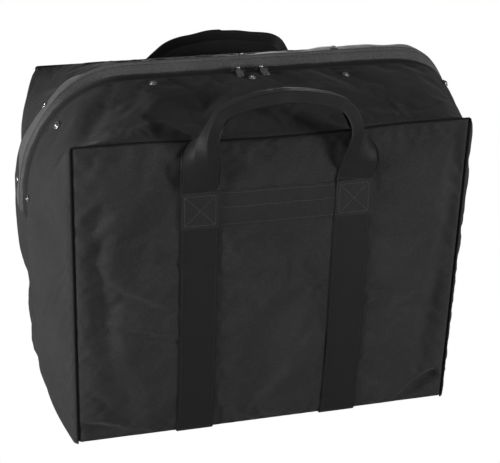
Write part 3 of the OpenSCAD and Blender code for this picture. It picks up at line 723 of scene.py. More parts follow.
def strip_cloth():
    """The places t of the strip's rows, and its points, folded and settled."""
    rows, cols = strip_places()
    t, y = np.meshgrid(rows, cols, indexing="ij")
    from_seam = INNER_D - np.abs(y)
    points = skin(t, y)
    inward = skin(t, y, 1 * MM) - points
    inward /= np.maximum(np.linalg.norm(inward, axis=2, keepdims=True), 1e-9)
    fold = creased(t, y, END_CREASES, 0.28, 0.1)
    fold *= np.clip(from_seam / (20 * MM), 0, 1)
    fold *= np.clip((np.abs(y) - EDGE_Y) / (20 * MM), 0, 1)
    points = points + inward * (groove(from_seam) - fold)[..., None]
    sag = top_sag(points[..., 0]) * np.clip(-y / INNER_D, 0, 1) ** 3
    points[..., 2] -= np.where((y < 0) & (t > 2) & (t < 4), sag, 0)
    points[..., 1] += np.where(y < 0, 1, -1) * 0.5 * MM * (np.abs(y) > INNER_D - 1e-6)
    # The seams, the zip and the floor hold the cloth.
    on_zip = (np.abs(y) < TAPE_Y) & (t > ZIP_END_S - 0.05) & (t < 6 - ZIP_END_S + 0.05)
    hold = np.clip(1.2 - from_seam / (14 * MM), 0, 1)
    hold = np.maximum(hold, np.where(on_zip, 1.0, 0.0))
    hold = np.maximum(hold, np.clip(1 - np.minimum(t, 6 - t) / 0.05, 0, 1))
    points = settle(points, hold, 0.010, 6 * MM)
    finer = np.interp(np.arange(2 * len(rows) - 1) / 2, np.arange(len(rows)), rows)
    return finer, refine(points)


STRIP_T, STRIP = strip_cloth()
STRIP_Y = STRIP[len(STRIP) // 2, :, 1]
STRIP_N = facing(STRIP, (STRIP - np.array([0, 0, 0.22])) * np.array([1, 0, 1]))


def rows_between(t_low, t_high):
    return np.where((STRIP_T >= t_low - 1e-6) & (STRIP_T <= t_high + 1e-6))[0]


def strip_part(t_low, t_high, y_low, y_high):
    """A part of the strip, its points and normals, that is cut out as one piece."""
    cols = np.where((STRIP_Y >= y_low - 1e-4) & (STRIP_Y <= y_high + 1e-4))[0]
    pick = np.ix_(rows_between(t_low, t_high), cols)
    return STRIP[pick], STRIP_N[pick]


# The x where the blends for the mouth's end cloth start.
X_STILL = HALF_L + 5 * MM


def opening_blend(side, end):
    """The blend for the cloth at the zip's corner, from the still end to the top that opens; end is -1 at the left."""
    body = "mouth_front" if side < 0 else "mouth_back"
    return ("root", body, (end * X_STILL, 0, CROWN_Z), (end * CORNER_X, 0, CROWN_Z))


shell("left_end_cloth", strip_part(0, ZIP_END_S, -1, 1), "left_end_panel", "root")
shell("right_end_cloth", strip_part(6 - ZIP_END_S, 6, -1, 1), "right_end_panel", "root")
for word, side in SIDES:
    depths = (-1, -EDGE_Y) if side < 0 else (EDGE_Y, 1)
    seam_y, free_y = side * (HALF_D - 1 * MM), side * (HALF_D - 24 * MM)
    shell(f"{word}_top_cloth", strip_part(2, 4, *depths), f"{word}_gusset_top",
          blend=("root", f"mouth_{word}", (0, seam_y, PANEL_H), (0, free_y, PANEL_H)))
    for end, x_sign, ts in (("left", -1, (ZIP_END_S, 2)), ("right", 1, (4, 6 - ZIP_END_S))):
        shell(f"{word}_corner_cloth_{end}", strip_part(*ts, *depths), f"{word}_gusset_{end}",
              blend=opening_blend(side, x_sign))


# ---- Base ----
def base_cloth():
    """The base lies on its straps and turns up a little at its edges."""
    ys = np.linspace(-HALF_D + SEAM_INSET, HALF_D - SEAM_INSET, 41)
    us = np.linspace(-1, 1, 61)
    y, u = np.meshgrid(ys, us, indexing="ij")
    reach = HALF_L - SEAM_INSET + BASE_BULGE * np.sin(np.pi / 2 * (1 - np.abs(y) / HALF_D))
    x = u * reach
    edge = np.minimum(reach - np.abs(x), HALF_D - np.abs(y))
    z = WEB_T + 0.4 * MM + 2.5 * MM * np.clip(1 - edge / (14 * MM), 0, 1) ** 2
    points = np.stack([x, y, z], axis=-1)
    return points, facing(points, (0, 0, -1))


shell("base_cloth", base_cloth(), "bottom_panel", "root")


# ---- Lying on a panel ----
def tree_of(points):
    rows, cols = points.shape[:2]
    quads = joined(rows, cols)
    return BVHTree.FromPolygons([tuple(p) for p in points.reshape(-1, 3)], [tuple(q) for q in quads])


PANEL_TREE = {-1: tree_of(FRONT), 1: tree_of(BACK)}
WEB_TREES = {-1: [], 1: []}


def on_panel(x, z, side):
    """Depth y of the panel's outer face at x and z."""
    hit = PANEL_TREE[side].ray_cast(Vector((x, side * (HALF_D + 0.1), max(z, 6 * MM))), Vector((0, -side, 0)))[0]
    return hit.y if hit else side * HALF_D


def web_on_panel(x_low, x_high, z_low, z_high, side, up, nx, nz):
    """A piece of webbing that lies on a panel; up is how far its outer face stands off the cloth."""
    xs, zs = np.linspace(x_low, x_high, nx), np.linspace(z_low, z_high, nz)
    depth = np.array([[on_panel(x, z, side) for x in xs] for z in zs])
    spread = np.ones(7) / 7
    smooth = np.apply_along_axis(lambda c: np.convolve(np.pad(c, 3, mode="edge"), spread, "valid"), 0, depth)
    if side < 0:
        smooth = np.minimum(smooth, depth)
    else:
        smooth = np.maximum(smooth, depth)
    z, x = np.meshgrid(zs, xs, indexing="ij")
    return np.stack([x, smooth + side * up, z], axis=-1)


def strap(name, side_x, node):
    """Webbing up the front, under the base and up the back, in one length."""
    x0, x1 = side_x * STRAP_X - WEB_W / 2, side_x * STRAP_X + WEB_W / 2
    count = 7
    parts = []
    for side in (-1, 1):
        rows = web_on_panel(x0, x1, 14 * MM, STRAP_TOP, side, WEB_T + 0.3 * MM, count, 64)
        parts.append(rows[::-1] if side < 0 else rows)
    front_y, back_y = parts[0][-1, :, 1].mean(), parts[1][0, :, 1].mean()
    turn = []
    for y, way in ((front_y, 1), (back_y, -1)):
        for a in (np.linspace(15, 75, 4) if way > 0 else np.linspace(75, 15, 4)):
            r = 12 * MM
            turn.append((y + way * (r - r * cos(radians(a))), r - r * sin(radians(a))))
    flat = [(y, 0.0) for y in np.linspace(front_y + 14 * MM, back_y - 14 * MM, 24)]
    path = turn[:4] + flat + turn[4:]
    xs = np.linspace(x0, x1, count)
    under = np.array([[(x, y, z) for x in xs] for y, z in path])
    points = np.concatenate([parts[0], under, parts[1]])
    points[..., 2] = np.maximum(points[..., 2], 0)
    normals = facing(points, (points - np.array([0, 0, 0.2])) * np.array([0, 1, 1]))
    place_sheet(name, points, normals, WEB_T, WEBBING, "webbing", [node], "root")
    for side in (-1, 1):
        WEB_TREES[side].append(tree_of(points))


strap("strap_web_left", -1, "strap_left")
strap("strap_web_right", 1, "strap_right")
for word, side in SIDES:
    reach = STRAP_X - WEB_W / 2 + 6 * MM
    band = web_on_panel(-reach, reach, BAND_Z, STRAP_TOP - 1 * MM, side, WEB_T, 34, 12)
    dips = sum(np.exp(-((np.linspace(-1, 1, 34) - at) / 0.10) ** 2) for at in (-0.82, -0.22, 0.30, 0.85))
    band[..., 1] += side * 2.2 * MM * (1 - dips)[None, :] * np.sin(np.linspace(0, np.pi, 12))[:, None] ** 0.7
    place_sheet(f"cross_band_web_{word}", band, facing(band, (0, side, 0)), WEB_T, RUBBED_WEBBING, "webbing",
                [f"cross_band_{word}"], "root")
    WEB_TREES[side].append(tree_of(band))
    for end in (-1, 1):
        x0 = end * STRAP_X - WEB_W / 2 + 0.5 * MM
        patch = web_on_panel(x0, x0 + WEB_W - 1 * MM, BAND_Z, STRAP_TOP, side, 2 * WEB_T + 0.8 * MM, 7, 16)
        place_sheet(f"handle_anchor_{word}_{'left' if end < 0 else 'right'}", patch, facing(patch, (0, side, 0)),
                    WEB_T, RUBBED_WEBBING, "webbing", [], "root")
        WEB_TREES[side].append(tree_of(patch))


# ---- Stitches ----
STITCH_LENGTH, STITCH_GAP, THREAD_R = 3.0 * MM, 1.0 * MM, 0.42 * MM


def stitches(name, lines, body=None, blend=None, nodes=(), material=None):
    """Rows of sewing: each line is a path and its outward normals."""
    m = 5
    around = np.arange(m) * 2 * np.pi / m
    stations = np.array([0, 0.22, 0.78, 1.0])
    thick = np.array([0.35, 1.0, 1.0, 0.35])
    drop = np.array([-0.9, 0.15, 0.15, -0.9]) * THREAD_R
    one = joined(4, m, True)
    verts, faces, count = [], [], 0
    for path, normals in lines:
        path, normals = np.asarray(path, float), np.broadcast_to(np.asarray(normals, float), np.shape(path))
        run = arc(path)
        whole = int((run[-1] - STITCH_GAP) / (STITCH_LENGTH + STITCH_GAP))
        if whole < 1:
            continue
        starts = STITCH_GAP + np.arange(whole) * (run[-1] - STITCH_GAP) / whole
        at = starts[:, None] + stations * STITCH_LENGTH
        place, out = read_off(at, run, path), read_off(at, run, normals)
        out /= np.linalg.norm(out, axis=-1, keepdims=True)
        along = place[:, -1:] - place[:, :1]
        along /= np.linalg.norm(along, axis=-1, keepdims=True)
        across = np.cross(along, out)
        place = place + out * drop[None, :, None]
        rim = out[:, :, None] * np.sin(around)[:, None] + across[:, :, None] * np.cos(around)[:, None]
        ring = place[:, :, None] + THREAD_R * thick[:, None, None] * rim
        verts.append(ring.reshape(-1, 3))
        offsets = count + np.arange(whole) * 4 * m
        faces.append((offsets[:, None, None] + one).reshape(-1, 4))
        count += whole * 4 * m
    obj = add_mesh(name, np.concatenate(verts), np.concatenate(faces), material or THREAD)
    finish_piece(obj, nodes, body, blend)
    return obj


def panel_line(start, end, side, up):
    """A sewing line on a panel's webbing, between two (x, z) places."""
    path = np.array([[x, on_web(x, z, side) + side * up, z] for x, z in np.linspace(start, end, 40)])
    return path, (0, side, 0)


# ---- Round fittings ----
def lathe(profile, turns=28):
    """Points and faces of a turned shape about its own Z axis; profile is (radius, height)."""
    a = np.arange(turns) * 2 * np.pi / turns
    verts = np.array([(r * cos(t), r * sin(t), h) for r, h in profile for t in a]) * MM
    return verts, joined(len(profile), turns, True)


def fittings(name, profile, frames, material, body, nodes):
    """The same turned shape at several places; each frame is (place, outward direction)."""
    verts, faces = [], []
    shape, quads = lathe(profile)
    for place, out in frames:
        turn = np.array(Vector(out).to_track_quat("Z", "Y").to_matrix())
        faces.append(quads + sum(map(len, verts)))
        verts.append(shape @ turn.T + np.array(place))
    obj = add_mesh(name, np.concatenate(verts), np.concatenate(faces), material)
    finish_piece(obj, nodes, body)
    return obj


STUD = [(0.01, 0.2), (4.9, 0.2), (5.5, 0.5), (5.5, 0.9), (5.2, 1.15), (4.5, 1.2), (3.4, 0.9), (2.4, 1.0),
        (2.1, 1.5), (2.2, 2.2), (2.45, 2.7), (2.2, 3.1), (1.3, 3.3), (0.01, 3.35)]
SOCKET = [(3.0, 0.0), (5.0, 0.0), (5.5, 0.4), (5.5, 1.2), (5.2, 1.7), (4.6, 1.95), (4.0, 1.8), (3.7, 1.3),
          (3.5, 0.9), (3.0, 0.8), (0.01, 0.75)]
CAP = [(5.2, 0.0), (5.5, 0.25), (5.4, 0.6), (4.9, 0.95), (3.8, 1.2), (2.2, 1.35), (0.01, 1.4)]


# ---- Zip ----
COIL_R = 1.4 * MM
COIL_Y = 1.9 * MM
COIL_DEPTH = CROWN_Z - (low("zip_coil_front", 2) + high("zip_coil_front", 2)) / 2
HELD = low("zip_coil_held", 0), high("zip_coil_held", 0)
HELD_Y = high("zip_tape_held", 1)


def top_t(x):
    return 3 + x / CORNER_X


def tape(name, ts, y0, y1, nodes, body=None, blend=None):
    """One length of the woven tape that carries a row of the coil."""
    n = max(2, int(abs(y1 - y0) / (1.4 * MM)) + 1)
    t, y = np.meshgrid(ts, np.linspace(y0, y1, n), indexing="ij")
    points = skin(t, y, 2.2 * MM)
    normals = facing(points, (points - np.array([0, 0, 0.22])) * np.array([1, 0, 1]))
    place_sheet(name, points, normals, 0.7 * MM, TAPE, "zip_tape", nodes, body, blend)


def coil(name, ts, side, nodes, body=None, blend=None):
    """One row of the nylon coil, ribbed at the pitch of its turns."""
    dense = np.linspace(ts[0], ts[-1], 800)
    mid, out = crown(dense)
    mid = mid - out * COIL_DEPTH
    run = arc(mid)
    pitch = 1.55 * MM
    s = np.arange(0, run[-1], pitch / 4)
    centre = np.insert(read_off(s, run, mid), 1, side * COIL_Y, axis=-1)
    up = np.insert(read_off(s, run, out), 1, 0, axis=-1)
    r = COIL_R * (0.84 + 0.16 * np.cos(2 * np.pi * s / pitch))
    m = 8
    a = np.arange(m) * 2 * np.pi / m
    rim = up[:, None] * np.sin(a)[:, None] * 0.8 + np.array([0, 1.0, 0]) * np.cos(a)[:, None] * 1.15
    ring = centre[:, None] + r[:, None, None] * rim
    obj = add_mesh(name, ring.reshape(-1, 3), joined(len(s), m, True), COIL)
    finish_piece(obj, nodes, body, blend)


def zip_rows():
    """The tapes and coils, cut where the sliders stand and where the top turns down to the ends."""
    whole = np.linspace(2, 4, 61)
    left = np.linspace(ZIP_END_S, 2, 40)
    right = 6 - left[::-1]
    before = np.linspace(2, top_t(HELD[0]) - 0.003, 30)
    held = np.linspace(top_t(HELD[0]), top_t(HELD[1]), 12)
    after = np.linspace(top_t(HELD[1]) + 0.003, 4, 30)
    tape("zip_tape_front_run", whole, -0.6 * MM, -TAPE_Y, ["zip_tape_front"], "mouth_front")
    tape("zip_tape_back_run_left", before, 0.6 * MM, TAPE_Y, ["zip_tape_back"], "mouth_back")
    tape("zip_tape_back_run_middle", held, HELD_Y + 0.5 * MM, TAPE_Y, ["zip_tape_back"], "mouth_back")
    tape("zip_tape_back_run_right", after, 0.6 * MM, TAPE_Y, ["zip_tape_back"], "mouth_back")
    tape("zip_tape_between_sliders", held, 0.6 * MM, HELD_Y, ["zip_tape_held"], "mouth_front")
    coil("zip_coil_front_row", whole, -1, ["zip_coil_front"], "mouth_front")
    coil("zip_coil_back_row_left", before, 1, ["zip_coil_back"], "mouth_back")
    coil("zip_coil_back_row_right", after, 1, ["zip_coil_back"], "mouth_back")
    coil("zip_coil_between_sliders", held, 1, ["zip_coil_held"], "mouth_front")
    for end, x_sign, ts in (("left", -1, left), ("right", 1, right)):
        for word, side in SIDES:
            follow = opening_blend(side, x_sign)
            tape(f"zip_tape_{end}_{word}", ts, side * 0.6 * MM, side * TAPE_Y, [f"zip_tapes_{end}"], blend=follow)
            coil(f"zip_coil_{end}_{word}", ts, side, [f"zip_coils_{end}"], blend=follow)


zip_rows()


def cut_plate(name, outer, holes, thick, round_edge, material, matrix, body, nodes):
    """A flat metal piece with rounded edges, cut from an outline with holes."""
    curve = bpy.data.curves.new(name, "CURVE")
    curve.dimensions = "2D"
    curve.fill_mode = "BOTH"
    curve.extrude = thick / 2 - round_edge
    curve.bevel_depth = round_edge
    curve.bevel_resolution = 2
    curve.offset = -round_edge
    for ring in [outer] + holes:
        spline = curve.splines.new("POLY")
        spline.points.add(len(ring) - 1)
        for point, (x, y) in zip(spline.points, ring):
            point.co = (x, y, 0, 1)
        spline.use_cyclic_u = True
    source = new_object(name + "_outline", curve)
    mesh = bpy.data.meshes.new_from_object(source.evaluated_get(bpy.context.evaluated_depsgraph_get()))
    bpy.data.objects.remove(source)
    mesh.name = name
    mesh.transform(matrix)
    mesh.materials.clear()
    mesh.materials.append(material)
    obj = new_object(name, mesh)
    finish_piece(obj, nodes, body)
    return obj


def rounded(w, h, r, cx=0.0, cy=0.0, n=6):
    """Outline of a rectangle with round corners, in metres."""
    ring = []
    for sx, sy, a0 in ((1, 1, 0), (-1, 1, 90), (-1, -1, 180), (1, -1, 270)):
        for k in range(n + 1):
            a = radians(a0 + 90 * k / n)
            ring.append((cx + sx * (w / 2 - r) + r * cos(a), cy + sy * (h / 2 - r) + r * sin(a)))
    return ring


def tube(name, path, radius, material, body, nodes, m=10, flat=1.0):
    """A round wire or cord with m sides along a path; flat widens it along y."""
    path = np.asarray(path, float)
    along = np.gradient(path, axis=0)
    along /= np.linalg.norm(along, axis=1, keepdims=True)
    y = np.array([0, 1.0, 0])
    out = np.cross(along, y)
    a = np.arange(m) * 2 * np.pi / m
    ring = path[:, None] + radius * (out[:, None] * np.sin(a)[:, None] + flat * y * np.cos(a)[:, None])
    obj = add_mesh(name, ring.reshape(-1, 3), joined(len(path), m, True), material)
    finish_piece(obj, nodes, body)
    return obj


PULL_LENGTH, PULL_WIDTH = 24 * MM, 10 * MM


def slider(end, nose):
    """A slider with its plates, lips and bridge, and its pull; nose is +1 where it points to the right."""
    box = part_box(f"zip_slider_{end}")
    x = (box[0][0] + box[1][0]) / 2
    z = CROWN_Z - COIL_DEPTH
    up = z + COIL_R + 0.4 * MM
    half = (box[1][0] - box[0][0]) / 2
    # The plate is broad at the nose, where the rows part, and narrow at the tail.
    ring = [(-1, 0.62), (-0.5, 0.66), (0.1, 0.8), (0.55, 1.0), (0.85, 0.97), (0.98, 0.7), (1.0, 0.3)]
    ring = ring + [(px, -py) for px, py in ring[::-1]]
    w = 5.6 * MM
    outline = [(nose * px * half, py * w) for px, py in ring][::nose]
    body, nodes = f"slider_{end}", [f"zip_slider_{end}"]
    for word, height in (("upper", up + 0.7 * MM), ("lower", z - COIL_R - 1.7 * MM)):
        cut_plate(f"slider_{end}_{word}_plate", outline, [], 1.4 * MM, 0.4 * MM, BLACK_METAL,
                  Matrix.Translation((x, 0, height)), body, nodes)
    edge = ((-0.96, 0.6), (-0.5, 0.64), (0.1, 0.78), (0.5, 0.97), (0.8, 0.95))
    for word, side in SIDES:
        lip = [(x + nose * px * half, side * py * w * 0.95, up - 0.1 * MM) for px, py in edge]
        tube(f"slider_{end}_lip_{word}", lip, 0.6 * MM, BLACK_METAL, body, nodes)
    top = high(f"zip_slider_{end}", 2) - 0.8 * MM
    foot = up + 1.0 * MM
    arch = [(x + 6.4 * MM * cos(radians(a)), 0, foot + (top - foot) * sin(radians(a)) ** 0.6)
            for a in range(0, 181, 15)]
    tube(f"slider_{end}_bridge", arch, 0.8 * MM, BLACK_METAL, body, nodes, flat=1.25)
    # Pull: a slotted tab on an eye that turns on the bridge.
    node = f"zip_pull_{end}"
    bar = Matrix.Translation((x, 0, top)) @ Matrix.Rotation(radians(12), 4, "X")
    bar = bar @ Matrix.Rotation(radians(-3 if end == "left" else 4), 4, "Z")
    tab = rounded(PULL_WIDTH, PULL_LENGTH * 0.70, 2 * MM, 0, -PULL_LENGTH * 0.65)
    slot_hole = rounded(5 * MM, 2.5 * MM, 1.0 * MM, 0, -PULL_LENGTH + 4.4 * MM)[::-1]
    neck = rounded(4.8 * MM, PULL_LENGTH * 0.42, 1.2 * MM, 0, -PULL_LENGTH * 0.20)
    for word, outline, holes, thick, edge in (("tab", tab, [slot_hole], 1.4, 0.35), ("neck", neck, [], 1.5, 0.4)):
        cut_plate(f"pull_{end}_{word}", outline, holes, thick * MM, edge * MM, NICKEL, bar, f"pull_{end}",
                  [node])
    ring, quads = lathe([(1.0, -2.4), (1.7, -2.4), (1.95, -2.1), (1.95, 2.1), (1.7, 2.4), (1.0, 2.4), (1.0, -2.4)], 18)
    turn = np.array((bar @ Matrix.Rotation(radians(90), 4, "Y")))
    eye = add_mesh(f"pull_{end}_eye", ring @ turn[:3, :3].T + turn[:3, 3], quads, NICKEL)
    finish_piece(eye, [node], f"pull_{end}")


slider("left", 1)
slider("right", -1)


# ---- Weather flap ----
FLAP_Y = 13 * MM
FALL = 41 * MM
FLAP_HALF_X = high("flap_rise_top", 0)
# The points of a section at its fold and under its two rows of stitches.
FOLD_POINT = 11
STITCH_POINTS = (8, 22)
SNAP_PAST_FOLD = 22.2 * MM
FLAP_T0 = ZIP_END_S + 0.01


def flap_section(t, extra):
    """Profile of the folded-back flap at place t, as (y, outward) points; extra is a small waviness.

    Along the top it stands up from its seam, rolls forward a little and lies back. Down
    the ends it lies low on the cloth behind the zip.
    """
    s = min(t, 6 - t)
    on_top = np.clip((s - 1.35) / 0.6, 0, 1)
    on_top = on_top * on_top * (3 - 2 * on_top)
    end = np.sqrt(np.clip((s - FLAP_T0) / 0.10, 0, 1))
    lean = radians(62 + on_top * 34 + 4 * extra)
    rise = (7 + on_top * 9.5 + 0.6 * extra) * MM * (0.5 + 0.5 * end)
    lie = radians(2 + on_top * (-18 + 9 * np.clip((t - 3) / 1.0, -1, 1)) + 5 * extra)
    roll = (2.2 + on_top * 2.4) * MM
    fall = (FALL - 3 * MM) * (0.2 + 0.8 * end)
    p = np.array([FLAP_Y, 0.2 * MM - on_top * 1.9 * MM])
    points = [p]
    heading = lean

    def go(distance, turn=0.0, parts=4):
        nonlocal p, heading
        for _ in range(parts):
            heading += turn / parts
            p = p + distance / parts * np.array([cos(heading), sin(heading)])
            points.append(p)

    go(rise - roll * 1.4, 0.0, 5)
    go(roll * 0.5 * 1.6, radians(20) * on_top, 2)
    go(roll * (heading - lie) * 0.8, lie - heading, 8)
    go(fall * 0.7, radians(-6), 5)
    go(fall * 0.3, radians(-10), 4)
    return np.array(points)


def flap_grid():
    """The places t of the flap's sections, and their points, set on the cloth behind the zip."""
    g = np.random.default_rng(8)
    down = np.linspace(FLAP_T0, 2, 44)
    ts = sorted([*down, *np.linspace(2, 4, 62)[1:], *(6 - down[::-1][1:]), t_at(-FLAP_HALF_X), t_at(FLAP_HALF_X)])
    rows = []
    waves = [(g.uniform(0.05, 0.16), g.uniform(0, 6.28), g.uniform(0.3, 1)) for _ in range(6)]
    mid, out = crown(np.array(ts))
    run = arc(mid)
    for t, m, o, s in zip(ts, mid, out, run):
        extra = sum(h * sin(2 * np.pi * s / w + f) for w, f, h in waves) / 2.2
        section = flap_section(t, extra)
        root = skin(t, FLAP_Y)[[0, 2]]
        sunk = np.dot(root - m, o) + 0.2 * MM - section[0, 1]
        rows.append([(m[0] + o[0] * (d + sunk), y, m[1] + o[1] * (d + sunk)) for y, d in section])
    return np.array(ts), np.array(rows)


FLAP_T, FLAP = flap_grid()


def flap_pieces():
    """Cuts the flap in three, each a sheet with its edge stitches; returns the outward directions."""
    outward = np.cross(np.gradient(FLAP, axis=0), np.gradient(FLAP, axis=1))
    outward /= np.linalg.norm(outward, axis=2, keepdims=True)
    middle = len(FLAP) // 2
    if outward[middle, -1, 2] < 0:
        outward = -outward
    marks = [0, *(np.argmin(np.abs(FLAP_T - t_at(x))) for x in (-FLAP_HALF_X, FLAP_HALF_X)), len(FLAP) - 1]
    left = ("root", "mouth_back", (-X_STILL, 0, CROWN_Z), (-FLAP_HALF_X, 0, CROWN_Z))
    right = ("root", "mouth_back", (X_STILL, 0, CROWN_Z), (FLAP_HALF_X, 0, CROWN_Z))
    fold_z = high("flap_rise_top", 2)
    turn = ("flap_rise", "flap_fall", (0, 14.5 * MM, fold_z - 6 * MM), (0, 21.5 * MM, fold_z))
    for name, a, b, nodes, follow in (
        ("flap_cloth_left", marks[0], marks[1], ["flap_run_left"], left),
        ("flap_cloth_top", marks[1], marks[2], ["flap_rise_top", "flap_fall_top"], turn),
        ("flap_cloth_right", marks[2], marks[3], ["flap_run_right"], right),
    ):
        # The flap's pale cloth is partly its coating's own tone and partly a painted highlight.
        part, n = FLAP[a:b + 1], outward[a:b + 1]
        piece = place_sheet(name, part, n, 1.6 * MM, PALE_FLAP_CLOTH_AND_HIGHLIGHT, "flap_cloth", nodes, blend=follow)
        rows = [(part[:, k] + n[:, k] * 0.1 * MM, n[:, k]) for k in STITCH_POINTS]
        stitches(name.replace("cloth", "edge_stitches"), rows, blend=follow)
    return outward


FLAP_N = flap_pieces()


# ---- Snaps ----
SNAP_X = (-0.141, 0.0, 0.137)
SNAP_S = (1.08, 1.5)


def snap_places():
    """Where the studs stand on the cloth and the sockets on the flap, with their outward directions."""
    tree = tree_of(STRIP)
    studs, sockets = ({"top": [], "left": [], "right": []} for _ in range(2))
    spots = [("top", top_t(x)) for x in SNAP_X]
    spots += [("left", s) for s in SNAP_S] + [("right", 6 - s) for s in SNAP_S]
    for group_name, t in spots:
        mid, out = crown(t)
        start = Vector((mid[0] + out[0] * 0.05, -30 * MM, mid[1] + out[1] * 0.05))
        hit, normal = tree.ray_cast(start, Vector((-out[0], 0, -out[1])))[:2]
        if normal.dot(Vector((out[0], 0, out[1]))) < 0:
            normal = -normal
        studs[group_name].append((np.array(hit) + np.array(normal) * 0.6 * MM, normal))
        row = np.argmin(np.abs(FLAP_T - t))
        along = lengths(FLAP[row][None], 1)[0]
        col = np.argmin(np.abs(along - along[FOLD_POINT] - SNAP_PAST_FOLD))
        sockets[group_name].append((FLAP[row, col], FLAP_N[row, col]))
    return studs, sockets


STUDS, SOCKETS = snap_places()
for where, under, over in (("top", "mouth_front", "flap_fall"), ("left", "root", "root"), ("right", "root", "root")):
    inner = [(p + n * 0.1 * MM, n) for p, n in SOCKETS[where]]
    outer = [(p - n * 1.5 * MM, -n) for p, n in SOCKETS[where]]
    for word, shape, places, metal, slot, body in (
        ("stud", STUD, STUDS[where], NICKEL, "snap_metal", under),
        ("socket", SOCKET, inner, NICKEL, "snap_metal", over),
        ("cap", CAP, outer, BLACK_METAL, "snap_cap", over),
    ):
        fittings(f"{word}_metal_{where}", shape, places, metal, body, [f"snap_{word}s_{where}"])


# ---- Handles ----
HANDLE_Y, HANDLE_Z = next(j for j in frame["joints"] if j["name"] == "handle_front_swing")["pos_m"][1:]
# Middle line of the right half of a handle: x, outwards, height, from the fold to the crown.
HANDLE_PATH = [
    (107.5, 0.5, -3), (108, 1.5, 3), (109, 5.5, 12), (110, 12, 28), (108.5, 16, 50), (103, 16, 76),
    (94, 14, 98), (83, 12, 112), (62, 11, 121), (30, 10, 128), (0, 10, 131),
]


def smooth_path(points, n):
    """A curve through the points (Catmull-Rom), at even steps along its length."""
    p = np.array(points, float)
    p = np.concatenate([2 * p[:1] - p[1:2], p, 2 * p[-1:] - p[-2:-1]])
    out = []
    for k in range(1, len(p) - 2):
        u = np.linspace(0, 1, 12, endpoint=False)[:, None]
        a, b, c, d = p[k - 1:k + 3]
        square, cube = 2 * a - 5 * b + 4 * c - d, 3 * b - a - 3 * c + d
        out.append(0.5 * (2 * b + (c - a) * u + square * u ** 2 + cube * u ** 3))
    out = np.concatenate(out + [p[-2:-1]])
    run = arc(out)
    return read_off(np.linspace(0, run[-1], n), run, out)


def handle_grid(lean, skew, fold, seed):
    """Webbing from the left fold over the crown to the right one, folded in three along the grip."""
    half = smooth_path(HANDLE_PATH, 60)
    whole = np.concatenate([half * np.array([-1, 1, 1]), half[::-1][1:]]) * MM
    run = arc(whole)
    total = run[-1]
    along = np.gradient(whole[:, [0, 2]], axis=0)
    along /= np.linalg.norm(along, axis=1, keepdims=True)
    outer = np.stack([-along[:, 1], along[:, 0]], axis=-1)
    # Places across the webbing, from its inner edge, closer together at the two folds.
    first, second = 17 * MM, 35 * MM
    across = np.concatenate([np.linspace(0, first - 2 * MM, 6), first + np.linspace(-1, 1, 5) * MM,
                             np.linspace(first + 2 * MM, second - 2 * MM, 6), second + np.linspace(-1, 1, 5) * MM,
                             np.linspace(second + 2 * MM, WEB_W, 5)])
    g = np.random.default_rng(seed)
    phase = g.uniform(0, 6.28, 6)
    rows = []
    for k, s in enumerate(run):
        near = min(s, total - s)
        left = s < total / 2
        x = np.clip((near - (36 if left else 28) * MM) / (74 * MM), 0, 1)
        folded = fold * x * x * (3 - 2 * x)
        turn = radians(92) * folded
        heading = turn * sum(np.clip((across - at + 1.2 * MM) / (2.4 * MM), 0, 1) for at in (first, second))
        step = np.diff(across, prepend=0)
        n = np.cumsum(step * np.cos(heading))
        back = np.cumsum(step * np.sin(heading))
        # The first fold goes from its place on the flat webbing to the top of the grip.
        n += (1 - folded) * (-WEB_W / 2) + folded * (7 * MM - n[8])
        back -= folded * 9 * MM
        belly = (1 - folded) * np.clip(near / (30 * MM), 0, 1)
        share = across / WEB_W * 2 - 1
        soft = 1.1 * MM * sin(2 * np.pi * s / 0.085 + phase[0]) * share
        soft += 0.8 * MM * sin(2 * np.pi * s / 0.047 + phase[1])
        back = back + belly * (2.2 * MM * share ** 2 + 2.0 * MM * share * (1 if left else -1))
        back = back + soft * np.clip(near / (25 * MM), 0, 1) * 0.6
        out = whole[k, 1] - back
        rows.append(np.stack([whole[k, 0] + outer[k, 0] * n, -out, whole[k, 2] + outer[k, 1] * n], axis=-1))
    grid = np.array(rows)
    grid[..., 0] += skew * np.clip(grid[..., 2] / 0.13, 0, 1) ** 1.3
    c, q = cos(radians(lean)), sin(radians(lean))
    grid[..., 1], grid[..., 2] = grid[..., 1] * c - grid[..., 2] * q, grid[..., 1] * q + grid[..., 2] * c
    return grid


def handle(word, side, lean, skew, fold, seed):
    grid = handle_grid(lean, skew, fold, seed)
    grid = grid + np.array([0, HANDLE_Y, HANDLE_Z])
    grid = grid * np.array([1, -side, 1])
    n = np.cross(np.gradient(grid, axis=0), np.gradient(grid, axis=1))
    n /= np.maximum(np.linalg.norm(n, axis=2, keepdims=True), 1e-12)
    if n[3, 8, 1] * side < 0:
        n = -n
    nodes = [f"handle_{word}_leg_left", f"handle_{word}_leg_right", f"handle_{word}_grip"]
    place_sheet(f"handle_web_{word}", grid, n, WEB_T, WEBBING, "webbing", nodes, f"handle_{word}")
    rows = [(grid[4:-4, k] + n[4:-4, k] * 0.1 * MM, n[4:-4, k]) for k in (1, -2)]
    stitches(f"handle_edge_stitches_{word}", rows, f"handle_{word}")


BACK_LEAN = 71
handle("front", -1, 0, 0.0, 1.0, 4)
handle("back", 1, BACK_LEAN, 44 * MM, 0.45, 9)


# ---- Sewing ----
def on_web(x, z, side):
    """Depth of the outermost cloth or webbing on a panel at x and z."""
    hit = None
    for tree in WEB_TREES[side]:
        found = tree.ray_cast(Vector((x, side * (HALF_D + 0.1), z)), Vector((0, -side, 0)))[0]
        if found and (hit is None or found.y * side > hit * side):
            hit = found.y
    return on_panel(x, z, side) if hit is None else hit


